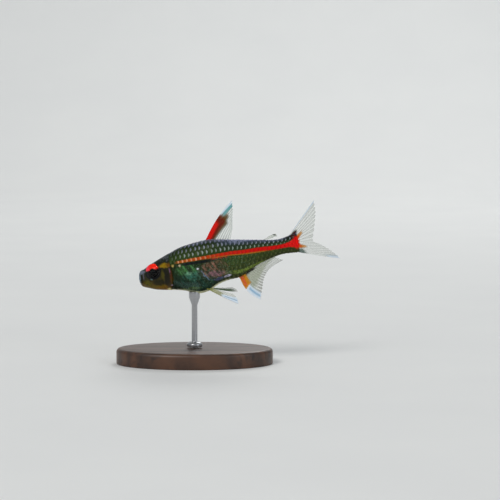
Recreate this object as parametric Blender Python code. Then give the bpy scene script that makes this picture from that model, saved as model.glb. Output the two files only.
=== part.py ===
"""Glowlight tetra, life size, as a still display model on a plain stand.

The fish is drawn along its own midline: a place along the body from the snout, a step across to
its left or right, and a height above its axis, all in millimetres. The function place() bends that
midline, tips the nose down and gives metres in the world. The head is at -X and the left flank
at -Y. The origin is the middle of the stand's underside.
"""

import math

import bmesh
import bpy
import numpy as np
from mathutils import Vector

# Driving dimensions, in millimetres and degrees
MM = 0.001
GAP = 0.3
SLIVER = 0.003
NOSE_DOWN = 10.0
HEAD_TURN = -27.0
HEAD_TURN_PLACES = (7.5, 18.0)
TAIL_TURN = 30.0
TAIL_TURN_PLACES = (25.0, 33.0)
AXIS_HEIGHT = 18.4
ROD_PLACE = 12.0

# Outline of the body, as (place along it, value) pairs
SNOUT = -0.08
SNOUT_ROUND = 0.70
MOUTH_LEVEL = -0.80
BACK = (
    (0.0, 0.74), (1.2, 1.04), (2.4, 1.62), (4.2, 2.34), (7.0, 3.38), (10.6, 4.50),
    (15.3, 5.00), (19.7, 4.29), (24.4, 3.41), (29.0, 2.72), (32.0, 3.32),
)
BELLY = (
    (0.0, -2.45), (0.8, -2.62), (1.9, -2.86), (3.7, -3.22), (7.0, -3.56), (9.3, -4.05), (12.4, -5.02),
    (14.5, -4.46), (16.2, -3.80), (18.0, -3.40), (20.3, -3.22), (22.4, -2.30),
    (24.8, -1.25), (27.4, -0.58), (29.4, -0.33), (32.0, -0.58),
)
HALF_WIDTH = (
    (0.0, 1.10), (1.2, 1.40), (2.6, 1.72), (5.0, 1.98), (8.0, 2.20), (12.0, 2.35),
    (16.0, 2.10), (20.0, 1.68), (24.0, 1.25), (28.0, 0.88), (31.0, 0.60), (32.0, 0.50),
)
FULLNESS = ((0.0, 0.80), (8.0, 0.88), (14.0, 1.0), (32.0, 1.0))
WIDEST_SHARE = 0.52

HEAD_END = 8.85
TRUNK_END = 28.2
STEM_END = 32.0
BODY_SIDES = 32

EYE_PLACE = 4.02
EYE_HEIGHT = 0.42
EYE_ACROSS = 1.30
EYE_RADII = (1.73, 1.58)
EYE_BULGE = 0.75

MOUTH_CORNER = (2.0, -1.85)
JAW_END = 3.7
LIP_RADIUS = 0.27
LIP_INSET = 0.12
LIP_STEPS = 10
LIP_SWEEP = 1.8
LIP_END_SHARE = 0.35
JAW_WEDGE_LOW = -6.0
JAW_WEDGE_LEAN = 0.8
JAW_WEDGE_AHEAD = 1.5
JAW_WEDGE_REACH = 4.0
NOSTRIL_PLACE = 1.55
NOSTRIL_ANGLE = 52.0
NOSTRIL_SIZE = (0.32, 0.19, 0.22)

COVER_FRONT = 6.35
COVER_REAR = (7.6, 8.50)
COVER_LOW_RUN = 0.9
COVER_ANGLES = (-57.0, 30.0)
COVER_PROUD = 0.14
COVER_THICK = 0.62
COVER_BULGE_POWER = 0.6
COVER_FRONT_LEAN = 1.17
COVER_LEAN_POWER = 2.5

FIN_THICK = 0.52
FIN_TIP_THICK = 0.2
RAY_HEIGHT = 0.11
FIN_TAPER_FROM = 0.75

# The fins on the midline: where they are rooted, and the outer end of the rays along the edge
DORSAL_BASE = (15.4, 19.6)
DORSAL_EDGE = (
    (0.0, (21.45, -0.35, 11.40)), (0.3, (21.10, -0.30, 9.90)),
    (0.6, (20.75, -0.20, 8.35)), (1.0, (20.25, -0.10, 6.20)),
)
ANAL_BASE = (20.35, 27.95)
ANAL_EDGE = (
    (0.0, (23.55, 0.30, -8.15)), (0.12, (24.10, 0.28, -6.45)), (0.3, (24.75, 0.22, -4.45)),
    (0.5, (25.90, 0.15, -2.85)), (0.75, (27.40, 0.08, -2.00)), (1.0, (29.10, 0.0, -1.45)),
)
ADIPOSE_BASE = (26.6, 27.7)
ADIPOSE_EDGE = ((0.0, (28.45, 0.0, 4.05)), (1.0, (28.80, 0.0, 3.35)))
UPPER_LOBE_ROOT = (3.25, 1.45)
UPPER_LOBE_EDGE = (
    (0.0, (37.90, 0.0, 8.40)), (0.25, (37.95, 0.0, 7.0)), (0.5, (37.60, 0.0, 5.35)),
    (0.75, (36.95, 0.0, 3.40)), (1.0, (36.10, 0.0, 1.25)),
)
LOWER_LOBE_ROOT = (1.15, -0.50)
LOWER_LOBE_EDGE = (
    (0.0, (36.10, 0.0, 0.90)), (0.25, (37.55, 0.0, 0.02)), (0.5, (39.05, 0.0, -1.05)),
    (0.75, (40.40, 0.0, -2.25)), (1.0, (41.40, 0.0, -3.40)),
)

# Paired fins. Angles are in degrees below the flank's middle, at the root and at the tip
PECTORAL_PLACES = (9.1, 13.6)
PECTORAL_ROOT_LEAN = 0.25
PECTORAL_TIP_LEAN = 1.1
PECTORAL_UPPER_ANGLES = (-23.0, -30.0)
PECTORAL_LOWER_ANGLES = (-36.0, -51.0)
PECTORAL_LIFT = 0.85
PELVIC_ROOTS = ((14.45, 0.95), (15.35, 0.45))
PELVIC_ROOT_ANGLES = (-62.0, -76.0)
PELVIC_EDGES = {
    -1: ((19.30, 2.4, -8.0), (18.55, 1.2, -6.0)),
    1: ((20.30, 2.0, -6.5), (19.2, 0.9, -5.3)),
}
PELVIC_EDGE_ROUND = 0.25

STAND_LENGTH = 30.0
STAND_WIDTH = 19.0
STAND_THICK = 3.0
STAND_ROUND = 0.7
ROD_RADIUS = 0.55
COLLAR_RADIUS = 1.5
COLLAR_HEIGHT = 0.9
CUP_RADIUS = 1.05
CUP_HEIGHT = 2.2
CUP_SINK = 0.9


def smooth_curve(points):
    """A curve through (place, value) pairs that never overshoots them. Values may be tuples."""
    places = np.array([place for place, _ in points], float)
    values = np.array([value for _, value in points], float)
    values = values.reshape(len(places), -1)
    rise = np.diff(values, axis=0) / np.diff(places)[:, None]
    slope = np.vstack([rise[:1], np.zeros_like(rise[1:]), rise[-1:]])
    product = rise[:-1] * rise[1:]
    total = np.where(product > 0, rise[:-1] + rise[1:], 1.0)
    slope[1:-1] = np.where(product > 0, 2 * product / total, 0.0)

    def value(place):
        place = min(max(place, places[0]), places[-1])
        k = min(int(np.searchsorted(places, place, side="right")) - 1, len(places) - 2)
        width = places[k + 1] - places[k]
        t = (place - places[k]) / width
        blend = t * t * (3 - 2 * t)
        found = values[k] * (1 - blend) + values[k + 1] * blend
        found = found + width * t * (1 - t) * (slope[k] * (1 - t) - slope[k + 1] * t)
        return found if len(found) > 1 else float(found[0])

    return value


def ease(t):
    t = min(max(t, 0.0), 1.0)
    return t * t * (3 - 2 * t)


def heading(s):
    """The way the midline runs in plan, in radians. Positive turns the tail away from the viewer."""
    first, last = HEAD_TURN_PLACES
    turn = HEAD_TURN * (1 - ease((s - first) / (last - first)))
    first, last = TAIL_TURN_PLACES
    turn += TAIL_TURN * ease((s - first) / (last - first))
    return math.radians(turn)


def midline_table(first=-2.0, last=46.0, step=0.02):
    """Places along the midline with their plan positions, which are zero above the stand's rod."""
    places = np.arange(first, last, step)
    turns = np.array([heading(s) for s in places])
    along = np.cumsum(np.cos(turns)) * step
    across = np.cumsum(np.sin(turns)) * step
    along -= np.interp(ROD_PLACE, places, along)
    across -= np.interp(ROD_PLACE, places, across)
    return places, along, across


MIDLINE = midline_table()
TIP = math.radians(NOSE_DOWN)


def place(s, across, up):
    """World position in metres. Across is positive towards the fish's right, away from the viewer."""
    turn = heading(s)
    along = np.interp(s, MIDLINE[0], MIDLINE[1]) - math.sin(turn) * across
    aside = np.interp(s, MIDLINE[0], MIDLINE[2]) + math.cos(turn) * across
    x = along * math.cos(TIP) - up * math.sin(TIP)
    z = along * math.sin(TIP) + up * math.cos(TIP)
    return Vector((x, aside, AXIS_HEIGHT + z)) * MM


back_line = smooth_curve(BACK)
belly_line = smooth_curve(BELLY)
half_width = smooth_curve(HALF_WIDTH)
fullness = smooth_curve(FULLNESS)


def snout_round(s):
    """Share of the full section that the blunt, round snout has reached."""
    t = min(max((s - SNOUT) / SNOUT_ROUND, 0.0), 1.0)
    return math.sqrt(1 - (1 - t) ** 2)


def back(s):
    return MOUTH_LEVEL + (back_line(s) - MOUTH_LEVEL) * snout_round(s)


def belly(s):
    return MOUTH_LEVEL + (belly_line(s) - MOUTH_LEVEL) * snout_round(s)


def section(s, angle):
    """Across and up on the body's section. Angle 0 is the right flank and 90 degrees the back."""
    widest = belly(s) + WIDEST_SHARE * (back(s) - belly(s))
    reach = back(s) - widest if math.sin(angle) > 0 else widest - belly(s)
    power = fullness(s)
    across = half_width(s) * snout_round(s) * math.copysign(abs(math.cos(angle)) ** power, math.cos(angle))
    up = reach * math.copysign(abs(math.sin(angle)) ** power, math.sin(angle))
    return np.array((across, widest + up))


def skin(s, angle, proud=0.0):
    """Across and up of a point that stands proud of the body's surface, square to its section."""
    step = 0.01
    run = section(s, angle + step) - section(s, angle - step)
    run = run / max(np.hypot(*run), 1e-9)
    across, up = section(s, angle) + proud * np.array((run[1], -run[0]))
    return across, up


def skin_place(s, angle, proud=0.0):
    return place(s, *skin(s, angle, proud))


def section_half_width(s, up):
    """How far the body reaches to one side at a height above its axis."""
    widest = belly(s) + WIDEST_SHARE * (back(s) - belly(s))
    reach = back(s) - widest if up > widest else widest - belly(s)
    share = min(abs(up - widest) / max(reach, 1e-9), 1.0) ** (2 / fullness(s))
    return half_width(s) * snout_round(s) * (1 - share) ** (fullness(s) / 2)


def make_material(name, colour, roughness, metallic=0.0):
    material = bpy.data.materials.new(name)
    material.use_nodes = True
    shader = material.node_tree.nodes["Principled BSDF"]
    shader.inputs["Base Color"].default_value = (*colour, 1.0)
    shader.inputs["Roughness"].default_value = roughness
    shader.inputs["Metallic"].default_value = metallic
    return material


def add_object(name, bm, material=None):
    mesh = bpy.data.meshes.new(name)
    bm.normal_update()
    bmesh.ops.recalc_face_normals(bm, faces=bm.faces[:])
    if bm.calc_volume(signed=True) < 0:
        bmesh.ops.reverse_faces(bm, faces=bm.faces[:])
    bm.to_mesh(mesh)
    bm.free()
    mesh.shade_smooth()
    mesh.set_sharp_from_angle(angle=math.radians(40))
    obj = bpy.data.objects.new(name, mesh)
    bpy.context.scene.collection.objects.link(obj)
    if material:
        mesh.materials.append(material)
    return obj


def tube(columns, stations, spot):
    """A closed loft: spot(angle, station) gives each point, and both ends are filled."""
    bm = bmesh.new()
    rows = len(stations) - 1
    bmesh.ops.create_grid(bm, x_segments=columns, y_segments=rows, size=0.5)
    for vert in bm.verts:
        angle = 2 * math.pi * round((vert.co.x + 0.5) * columns) / columns
        station = stations[round((vert.co.y + 0.5) * rows)]
        vert.co = spot(angle, station)
    bmesh.ops.remove_doubles(bm, verts=bm.verts[:], dist=1e-6)
    rims = [edge for edge in bm.edges if edge.is_boundary]
    bmesh.ops.holes_fill(bm, edges=rims, sides=columns)
    return bm


def slab(columns, rows, spot):
    """A closed plate: spot(u, v, side) gives the under face at side -1 and the outer one at 1."""
    bm = bmesh.new()
    bmesh.ops.create_grid(bm, x_segments=columns, y_segments=rows, size=0.5)
    bmesh.ops.triangulate(bm, faces=bm.faces[:], quad_method="FIXED")
    outer = bmesh.ops.extrude_face_region(bm, geom=bm.faces[:])["geom"]
    outer = {vert for vert in outer if isinstance(vert, bmesh.types.BMVert)}
    spots = {vert: (vert.co.x + 0.5, vert.co.y + 0.5) for vert in bm.verts}
    for vert, (u, v) in spots.items():
        vert.co = spot(u, v, 1 if vert in outer else -1)
    bmesh.ops.triangulate(bm, faces=bm.faces[:], quad_method="FIXED")
    return bm


def apply_boolean(obj, cutter, operation, solver="EXACT"):
    """One Boolean with another object, applied, after which the other object is removed."""
    modifier = obj.modifiers.new(operation.lower(), "BOOLEAN")
    modifier.operation = operation
    modifier.object = cutter
    modifier.solver = solver
    graph = bpy.context.evaluated_depsgraph_get()
    mesh = bpy.data.meshes.new_from_object(obj.evaluated_get(graph))
    obj.modifiers.clear()
    obj.data = mesh
    bpy.data.objects.remove(cutter)
    keep_largest(obj)


def keep_largest(obj):
    """Closes up slivers, then keeps the largest closed surface of an object and drops scraps."""
    bm = bmesh.new()
    bm.from_mesh(obj.data)
    bmesh.ops.remove_doubles(bm, verts=bm.verts[:], dist=SLIVER * MM)
    bmesh.ops.dissolve_degenerate(bm, edges=bm.edges[:], dist=SLIVER * MM)
    left = set(bm.verts)
    pieces = []
    while left:
        piece, queue = set(), [left.pop()]
        while queue:
            vert = queue.pop()
            piece.add(vert)
            near = {edge.other_vert(vert) for edge in vert.link_edges} & left
            left -= near
            queue.extend(near)
        pieces.append(piece)
    pieces.sort(key=len)
    loose = [vert for piece in pieces[:-1] for vert in piece]
    bmesh.ops.delete(bm, geom=loose, context="VERTS")
    bm.to_mesh(obj.data)
    bm.free()


def add_ellipsoid(name, centre, axes, radii, segments=20, rings=12, material=None):
    """A ball stretched along three directions that are given as unit vectors."""
    bm = bmesh.new()
    bmesh.ops.create_uvsphere(bm, u_segments=segments, v_segments=rings, radius=1.0)
    for vert in bm.verts:
        steps = (axis * (radius * part * MM) for axis, radius, part in zip(axes, radii, vert.co))
        vert.co = sum(steps, Vector(centre))
    return add_object(name, bm, material)


def add_body_part(name, stations, material, proud=0.0):
    def spot(angle, s):
        return skin_place(s, angle, proud)

    return add_object(name, tube(BODY_SIDES, stations, spot), material)


def spread(first, last, count):
    return [float(s) for s in np.linspace(first, last, count)]


def head_axes():
    """Unit vectors of the head: backwards, to its right, and up."""
    origin = place(EYE_PLACE, 0, 0)
    steps = (place(EYE_PLACE + 1, 0, 0), place(EYE_PLACE, 1, 0), place(EYE_PLACE, 0, 1))
    return [(step - origin).normalized() for step in steps]


def add_eye(side, name, grow=0.0, material=None):
    """Side is -1 for the left eye and 1 for the right one."""
    centre = place(EYE_PLACE, side * EYE_ACROSS, EYE_HEIGHT)
    radii = (EYE_RADII[0] + grow, EYE_RADII[1] + grow, EYE_BULGE + grow)
    aft, right, up = head_axes()
    return add_ellipsoid(name, centre, (aft, up, right), radii, 28, 14, material)


def mouth_height(s):
    """Height of the mouth's line, which slants down from the snout to its corner."""
    corner_place, corner_height = MOUTH_CORNER
    share = max(s - SNOUT, 0.0) / (corner_place - SNOUT)
    return MOUTH_LEVEL + (corner_height - MOUTH_LEVEL) * share


def add_lips():
    """A rounded rim all along the mouth's line, from one corner round the snout to the other."""
    path = []
    for step in range(-LIP_STEPS, LIP_STEPS + 1):
        s = SNOUT + 0.02 + (MOUTH_CORNER[0] - SNOUT) * abs(step / LIP_STEPS) ** LIP_SWEEP
        height = mouth_height(s)
        across = math.copysign(section_half_width(s, height), step) if step else 0.0
        path.append(place(s, across * (1 - LIP_INSET), height))

    def spot(angle, k):
        ahead = path[min(k + 1, len(path) - 1)] - path[max(k - 1, 0)]
        ahead.normalize()
        upward = head_axes()[2]
        sideways = ahead.cross(upward).normalized()
        upward = sideways.cross(ahead)
        ends = 1 - (abs(k - LIP_STEPS) / LIP_STEPS) ** 4
        radius = LIP_RADIUS * (LIP_END_SHARE + (1 - LIP_END_SHARE) * ends) * MM
        return path[k] + (sideways * math.cos(angle) + upward * math.sin(angle)) * radius

    return add_object("lips", tube(10, list(range(len(path))), spot))


def add_jaw_cutter(name, grow):
    """A wedge, right across the head, below the mouth's line and in front of the jaw's hinge."""
    corner_place, corner_height = MOUTH_CORNER
    slope = (corner_height - MOUTH_LEVEL) / (corner_place - SNOUT)
    front = SNOUT - JAW_WEDGE_AHEAD
    lift = grow * math.hypot(1, slope)
    outline = (
        (front, MOUTH_LEVEL + (front - SNOUT) * slope + lift),
        (corner_place + grow, corner_height + slope * grow + lift),
        (JAW_END + JAW_WEDGE_LEAN + grow, JAW_WEDGE_LOW),
        (front, JAW_WEDGE_LOW),
    )
    bm = bmesh.new()
    near = [bm.verts.new(place(s, -JAW_WEDGE_REACH, up)) for s, up in outline]
    face = bm.faces.new(near)
    wall = bmesh.ops.extrude_face_region(bm, geom=[face])["geom"]
    step = place(0, JAW_WEDGE_REACH, 0) - place(0, -JAW_WEDGE_REACH, 0)
    moved = [vert for vert in wall if isinstance(vert, bmesh.types.BMVert)]
    bmesh.ops.translate(bm, verts=moved, vec=step)
    return add_object(name, bm)


def add_gill_cover(side, name, grow=0.0, material=None):
    """The plate over the gills, or with grow the pocket that it lies in."""
    low, high = (math.radians(angle) for angle in COVER_ANGLES)
    short, long = COVER_REAR
    edge_step = grow / half_width(COVER_FRONT)

    def spot(u, v, face):
        angle = low - edge_step + (high - low + 2 * edge_step) * v
        bulge = math.sin(math.pi * v) ** COVER_BULGE_POWER if 0 < v < 1 else 0.0
        rear = short + (long - short) * bulge + grow - COVER_LOW_RUN * (1 - v) ** 2
        front = COVER_FRONT - grow - COVER_FRONT_LEAN * (1 - v) ** COVER_LEAN_POWER
        s = front + (rear - front) * u
        if face > 0:
            proud = COVER_PROUD + 2 * grow
        else:
            proud = COVER_PROUD - COVER_THICK - grow
        if side < 0:
            angle = math.pi - angle
        return skin_place(s, angle, proud)

    return add_object(name, slab(10, 16, spot), material)


def fin_spot(middle, rays, thick, tip_thick):
    """Turns a fin's middle surface into its two faces, with a ridge along every ray."""
    step = 0.01

    def spot(u, v, face):
        along_u = middle(min(u + step, 1), v) - middle(max(u - step, 0), v)
        along_v = middle(u, min(v + step, 1)) - middle(u, max(v - step, 0))
        normal = along_u.cross(along_v).normalized()
        column = round(u * 2 * (rays - 1))
        ridge = RAY_HEIGHT if column % 2 == 0 else 0.0
        thin = ease((v - FIN_TAPER_FROM) / (1 - FIN_TAPER_FROM))
        half = (thick * (1 - thin) + tip_thick * thin) / 2 + ridge * (1 - 0.5 * thin)
        return middle(u, v) + normal * (face * half * MM)

    return spot


def add_fin(name, root, edge, rays, rows, bow, material, thick=FIN_THICK):
    """A fin whose rays run from the root line to the edge line, both given as (s, across, up)."""
    longest = max(np.linalg.norm(edge(u) - root(u)) for u in (0.0, 1.0))

    def middle(u, v):
        s, across, up = root(u) * (1 - v) + edge(u) * v
        length = np.linalg.norm(edge(u) - root(u)) / longest
        bulge = 4 * v * (1 - v) * length ** 2
        return place(s + bow[0] * bulge, across + bow[1] * bulge, up + bow[2] * bulge)

    spot = fin_spot(middle, rays, thick, FIN_TIP_THICK)
    return add_object(name, slab(2 * (rays - 1), rows, spot), material)


def back_root(base):
    """A root line along the back, a small gap clear of it."""

    def root(u):
        s = base[0] + (base[1] - base[0]) * u
        return np.array((s, 0.0, back(s) + GAP))

    return root


def anal_root(u):
    s = ANAL_BASE[0] + (ANAL_BASE[1] - ANAL_BASE[0]) * u
    return np.array((s, 0.0, belly(s) - GAP))


def lobe_root(levels):
    """A root line down the rear end of the tail's stem."""

    def root(u):
        return np.array((STEM_END + GAP, 0.0, levels[0] + (levels[1] - levels[0]) * u))

    return root


def add_median_fins(membrane):
    fins = (
        ("dorsal_fin", back_root(DORSAL_BASE), DORSAL_EDGE, 11, 8, (-0.5, 0.0, 0.28)),
        ("adipose_fin", back_root(ADIPOSE_BASE), ADIPOSE_EDGE, 3, 4, (-0.1, 0.0, 0.15)),
        ("anal_fin", anal_root, ANAL_EDGE, 19, 6, (-0.55, 0.0, -0.38)),
        ("caudal_fin_upper", lobe_root(UPPER_LOBE_ROOT), UPPER_LOBE_EDGE, 10, 9, (-0.1, 0.0, 0.1)),
        ("caudal_fin_lower", lobe_root(LOWER_LOBE_ROOT), LOWER_LOBE_EDGE, 9, 9, (0.0, 0.0, -0.25)),
    )
    for name, root, edge, rays, rows, bow in fins:
        add_fin(name, root, smooth_curve(edge), rays, rows, bow, membrane)


def add_pectoral(side, name, material):
    """A paddle folded back along the flank, a little clear of it."""
    root_place, tip_place = PECTORAL_PLACES

    def middle(u, v):
        s = root_place + PECTORAL_ROOT_LEAN * u + (tip_place - root_place - PECTORAL_TIP_LEAN * u) * v
        upper, lower = (
            root + (tip - root) * v for root, tip in (PECTORAL_UPPER_ANGLES, PECTORAL_LOWER_ANGLES)
        )
        angle = math.radians(upper + (lower - upper) * u)
        if side < 0:
            angle = math.pi - angle
        clear = GAP + FIN_THICK / 2 + RAY_HEIGHT + PECTORAL_LIFT * v
        return skin_place(s, angle, clear)

    spot = fin_spot(middle, 9, FIN_THICK, FIN_TIP_THICK)
    return add_object(name, slab(16, 7, spot), material)


def add_pelvic(side, name, material):
    """Side is -1 for the left fin. Its longest ray is the outer one."""

    def root(u):
        (s0, across0), (s1, across1) = PELVIC_ROOTS
        s = s0 + (s1 - s0) * u
        across = across0 + (across1 - across0) * u
        first, last = PELVIC_ROOT_ANGLES
        angle = math.radians(first + (last - first) * u)
        skin_across, up = skin(s, angle, GAP + FIN_THICK / 2)
        return np.array((s, side * max(across, skin_across), up))

    def edge(u):
        outer, inner = (np.array(point) for point in PELVIC_EDGES[side])
        point = outer * (1 - u) + inner * u
        rounding = PELVIC_EDGE_ROUND * math.sin(math.pi * u)
        return np.array((point[0] + rounding, side * point[1], point[2]))

    return add_fin(name, root, edge, 8, 7, (0.0, side * 0.15, -0.1), material)


def add_stand(base_material, metal):
    bm = bmesh.new()
    bmesh.ops.create_cone(
        bm, cap_ends=True, segments=64, radius1=0.5, radius2=0.5, depth=STAND_THICK * MM,
    )
    for vert in bm.verts:
        vert.co.x *= STAND_LENGTH * MM
        vert.co.y *= STAND_WIDTH * MM
        vert.co.z += STAND_THICK * MM / 2
    rim = [edge for edge in bm.edges if all(vert.co.z > STAND_THICK * MM * 0.9 for vert in edge.verts)]
    bmesh.ops.bevel(
        bm, geom=rim, offset=STAND_ROUND * MM, offset_type="OFFSET", segments=3, profile=0.5,
        affect="EDGES", material=-1,
    )
    add_object("stand_base", bm, base_material)

    foot = STAND_THICK + GAP
    belly_height = place(ROD_PLACE, 0, belly(ROD_PLACE)).z / MM
    top = belly_height + CUP_SINK
    profile = (
        (COLLAR_RADIUS, foot), (COLLAR_RADIUS, foot + COLLAR_HEIGHT * 0.6),
        (COLLAR_RADIUS * 0.7, foot + COLLAR_HEIGHT), (ROD_RADIUS, foot + COLLAR_HEIGHT),
        (ROD_RADIUS, belly_height - CUP_HEIGHT), (CUP_RADIUS, belly_height - CUP_HEIGHT * 0.35),
        (CUP_RADIUS, top),
    )

    def spot(angle, k):
        radius, height = profile[k]
        return Vector((radius * math.cos(angle), radius * math.sin(angle), height)) * MM

    rod = add_object("stand_rod", tube(24, list(range(len(profile))), spot), metal)
    around = spread(ROD_PLACE - 4, ROD_PLACE + 4, 12)
    cutter = add_body_part("rod_cutter", around, None, proud=GAP)
    apply_boolean(rod, cutter, "DIFFERENCE")


def add_head(flesh, eye_material):
    stations = [SNOUT + 0.004, SNOUT + 0.03, 0.0, 0.15, 0.35, 0.6]
    stations += spread(0.9, HEAD_END, 16)
    head = add_body_part("head", stations, flesh)
    apply_boolean(head, add_lips(), "UNION")
    jaw = head.copy()
    jaw.data = head.data.copy()
    jaw.name = "lower_jaw"
    bpy.context.scene.collection.objects.link(jaw)
    apply_boolean(jaw, add_jaw_cutter("jaw_wedge", -GAP / 2), "INTERSECT")
    apply_boolean(head, add_jaw_cutter("mouth_wedge", GAP / 2), "DIFFERENCE")
    aft, right, up = head_axes()
    for side, word in ((-1, "left"), (1, "right")):
        apply_boolean(head, add_eye(side, "socket", GAP), "DIFFERENCE")
        add_eye(side, f"eye_{word}", 0.0, eye_material)
        apply_boolean(head, add_gill_cover(side, "pocket", GAP), "DIFFERENCE")
        add_gill_cover(side, f"gill_cover_{word}", 0.0, flesh)
        angle = math.radians(NOSTRIL_ANGLE)
        if side < 0:
            angle = math.pi - angle
        centre = skin_place(NOSTRIL_PLACE, angle)
        pit = add_ellipsoid("pit", centre, (aft, right, up), NOSTRIL_SIZE, 10, 6)
        apply_boolean(head, pit, "DIFFERENCE")


def build():
    for obj in list(bpy.data.objects):
        bpy.data.objects.remove(obj, do_unlink=True)
    flesh = make_material("scaled skin", (0.16, 0.19, 0.08), 0.35)
    membrane = make_material("fin membrane", (0.55, 0.60, 0.50), 0.30)
    eye_material = make_material("eye", (0.45, 0.02, 0.01), 0.08)
    base_material = make_material("dark wood", (0.055, 0.030, 0.018), 0.40)
    metal = make_material("brushed steel", (0.55, 0.55, 0.56), 0.30, 1.0)
    add_head(flesh, eye_material)
    add_body_part("trunk", spread(HEAD_END + GAP, TRUNK_END, 31), flesh)
    add_body_part("tail_stem", spread(TRUNK_END + GAP, STEM_END, 8), flesh)
    add_median_fins(membrane)
    for side, word in ((-1, "left"), (1, "right")):
        add_pectoral(side, f"pectoral_fin_{word}", membrane)
        add_pelvic(side, f"pelvic_fin_{word}", membrane)
    add_stand(base_material, metal)


build()
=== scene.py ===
# %% [markdown]
# # A glowlight tetra on a display stand
# This notebook dresses a small life-size model of a glowlight tetra. The fish is about 41.5 mm long from
# its snout to the tip of its tail fin, and swims in a shallow curve with its nose a little down.
# The solid model is loaded first. It says where everything is, and nothing here moves or resizes it.

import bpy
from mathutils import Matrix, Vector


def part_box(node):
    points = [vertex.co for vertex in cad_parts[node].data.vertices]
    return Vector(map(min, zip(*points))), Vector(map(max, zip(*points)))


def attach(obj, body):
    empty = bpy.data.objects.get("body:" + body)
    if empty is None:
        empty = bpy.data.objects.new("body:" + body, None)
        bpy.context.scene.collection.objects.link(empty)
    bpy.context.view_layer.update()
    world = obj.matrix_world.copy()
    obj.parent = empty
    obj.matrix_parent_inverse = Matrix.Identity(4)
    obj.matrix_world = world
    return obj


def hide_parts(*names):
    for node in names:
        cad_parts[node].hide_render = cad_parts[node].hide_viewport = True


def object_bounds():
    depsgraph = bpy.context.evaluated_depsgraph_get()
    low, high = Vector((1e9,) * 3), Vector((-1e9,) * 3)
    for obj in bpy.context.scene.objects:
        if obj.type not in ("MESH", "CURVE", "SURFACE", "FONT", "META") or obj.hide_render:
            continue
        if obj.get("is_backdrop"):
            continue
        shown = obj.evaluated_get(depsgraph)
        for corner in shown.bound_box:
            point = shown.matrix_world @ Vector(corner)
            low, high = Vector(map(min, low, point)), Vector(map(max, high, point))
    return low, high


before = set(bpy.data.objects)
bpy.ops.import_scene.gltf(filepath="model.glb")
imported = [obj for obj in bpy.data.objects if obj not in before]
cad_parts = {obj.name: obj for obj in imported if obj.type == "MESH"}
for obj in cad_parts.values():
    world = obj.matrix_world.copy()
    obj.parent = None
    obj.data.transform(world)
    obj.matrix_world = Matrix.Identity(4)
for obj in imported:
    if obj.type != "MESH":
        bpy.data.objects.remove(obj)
cad_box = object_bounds()
print("solid nodes:", len(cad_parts))

# %% Tools
import math

import bmesh
import bpy
import numpy as np
from mathutils import Vector

MM = 0.001
rng = np.random.default_rng(7)


def add_object(name, data):
    """Puts a mesh, a lamp or a camera into the scene."""
    made = bpy.data.objects.new(name, data)
    bpy.context.scene.collection.objects.link(made)
    return made


# %% [markdown]
# ## The camera
# The photograph looks straight at the fish's left side, from about five degrees above it, through a
# long lens. A long lens keeps the far fins nearly as large as the near ones, so a 150 mm lens is used,
# and the distance follows from how many millimetres one picture point covers at the fish.

# %% Place the camera
LENS, SENSOR = 150.0, 36.0
PICTURE_WIDTH = 500
MM_PER_POINT = 0.191
LOOK_DOWN = math.radians(5.0)
AIM = Vector((10.62, 0.0, 21.835)) * MM

camera = add_object("camera", bpy.data.cameras.new("camera"))
camera.data.lens = LENS
camera.data.sensor_width = SENSOR
camera.data.clip_start = 0.01
distance = PICTURE_WIDTH * MM_PER_POINT * MM * LENS / SENSOR
camera.location = AIM + Vector((0.0, -math.cos(LOOK_DOWN), math.sin(LOOK_DOWN))) * distance
camera.rotation_euler = (math.pi / 2 - LOOK_DOWN, 0.0, 0.0)
bpy.context.scene.camera = camera
print("camera distance, mm:", round(distance / MM))

# %% [markdown]
# ## Shader helpers
# Every finish below is a small network of shader nodes. The class Value stands for what a node gives at
# each point, so that sums of such values are written as ordinary formulas. Short functions add the
# other nodes: soft masks, blends of two colours, noise and bump.
# Colours are written as the 0 to 255 levels that a paint program shows.

# %% Shader helpers
class Value:
    """What a shader node gives at each point."""

    def __init__(self, socket):
        self.socket = socket
        self.tree = socket.id_data

    def __add__(self, other):
        return calc("ADD", self, other)

    def __sub__(self, other):
        return calc("SUBTRACT", self, other)

    def __rsub__(self, other):
        return calc("SUBTRACT", other, self)

    def __mul__(self, other):
        return calc("MULTIPLY", self, other)


def feed(inputs, values):
    """Links or sets a node's inputs, each given by its name or number."""
    for name, value in values.items():
        if isinstance(value, Value):
            value.tree.links.new(value.socket, inputs[name])
        else:
            inputs[name].default_value = value


def node(kind, values=None, output=0, tree=None, **settings):
    """Adds a shader node and gives one of its outputs. The tree is that of the values, if there are any."""
    tree = tree or next(value.tree for value in values.values() if isinstance(value, Value))
    made = tree.nodes.new("ShaderNode" + kind)
    for setting, value in settings.items():
        setattr(made, setting, value)
    feed(made.inputs, values or {})
    return Value(made.outputs[output])


def calc(operation, first, second=0.0):
    return node("Math", {0: first, 1: second}, operation=operation)


def square(value):
    return value * value


def join(x, y, z=0.0):
    return node("CombineXYZ", {0: x, 1: y, 2: z})


def split(vector):
    """The three numbers of a vector."""
    return [Value(socket) for socket in node("SeparateXYZ", {0: vector}).socket.node.outputs]


def vector_calc(operation, first, second):
    return node("VectorMath", {0: first, 1: second}, operation=operation)


def fade(value, low, high):
    """A soft mask: 0 at low and 1 at high. Low may be the larger of the two."""
    limits = {"Value": value, "From Min": low, "From Max": high}
    return node("MapRange", limits, interpolation_type="SMOOTHSTEP")


def window(value, low, high, soft):
    """A soft mask that is 1 between low and high."""
    return fade(value, low - soft, low + soft) * fade(value, high + soft, high - soft)


def paint(levels):
    """Three 0 to 255 levels as a shader's colour. A value passes unchanged."""
    if isinstance(levels, Value):
        return levels
    shares = [level / 255 for level in levels]
    return (*(s / 12.92 if s <= 0.04045 else ((s + 0.055) / 1.055) ** 2.4 for s in shares), 1.0)


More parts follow.
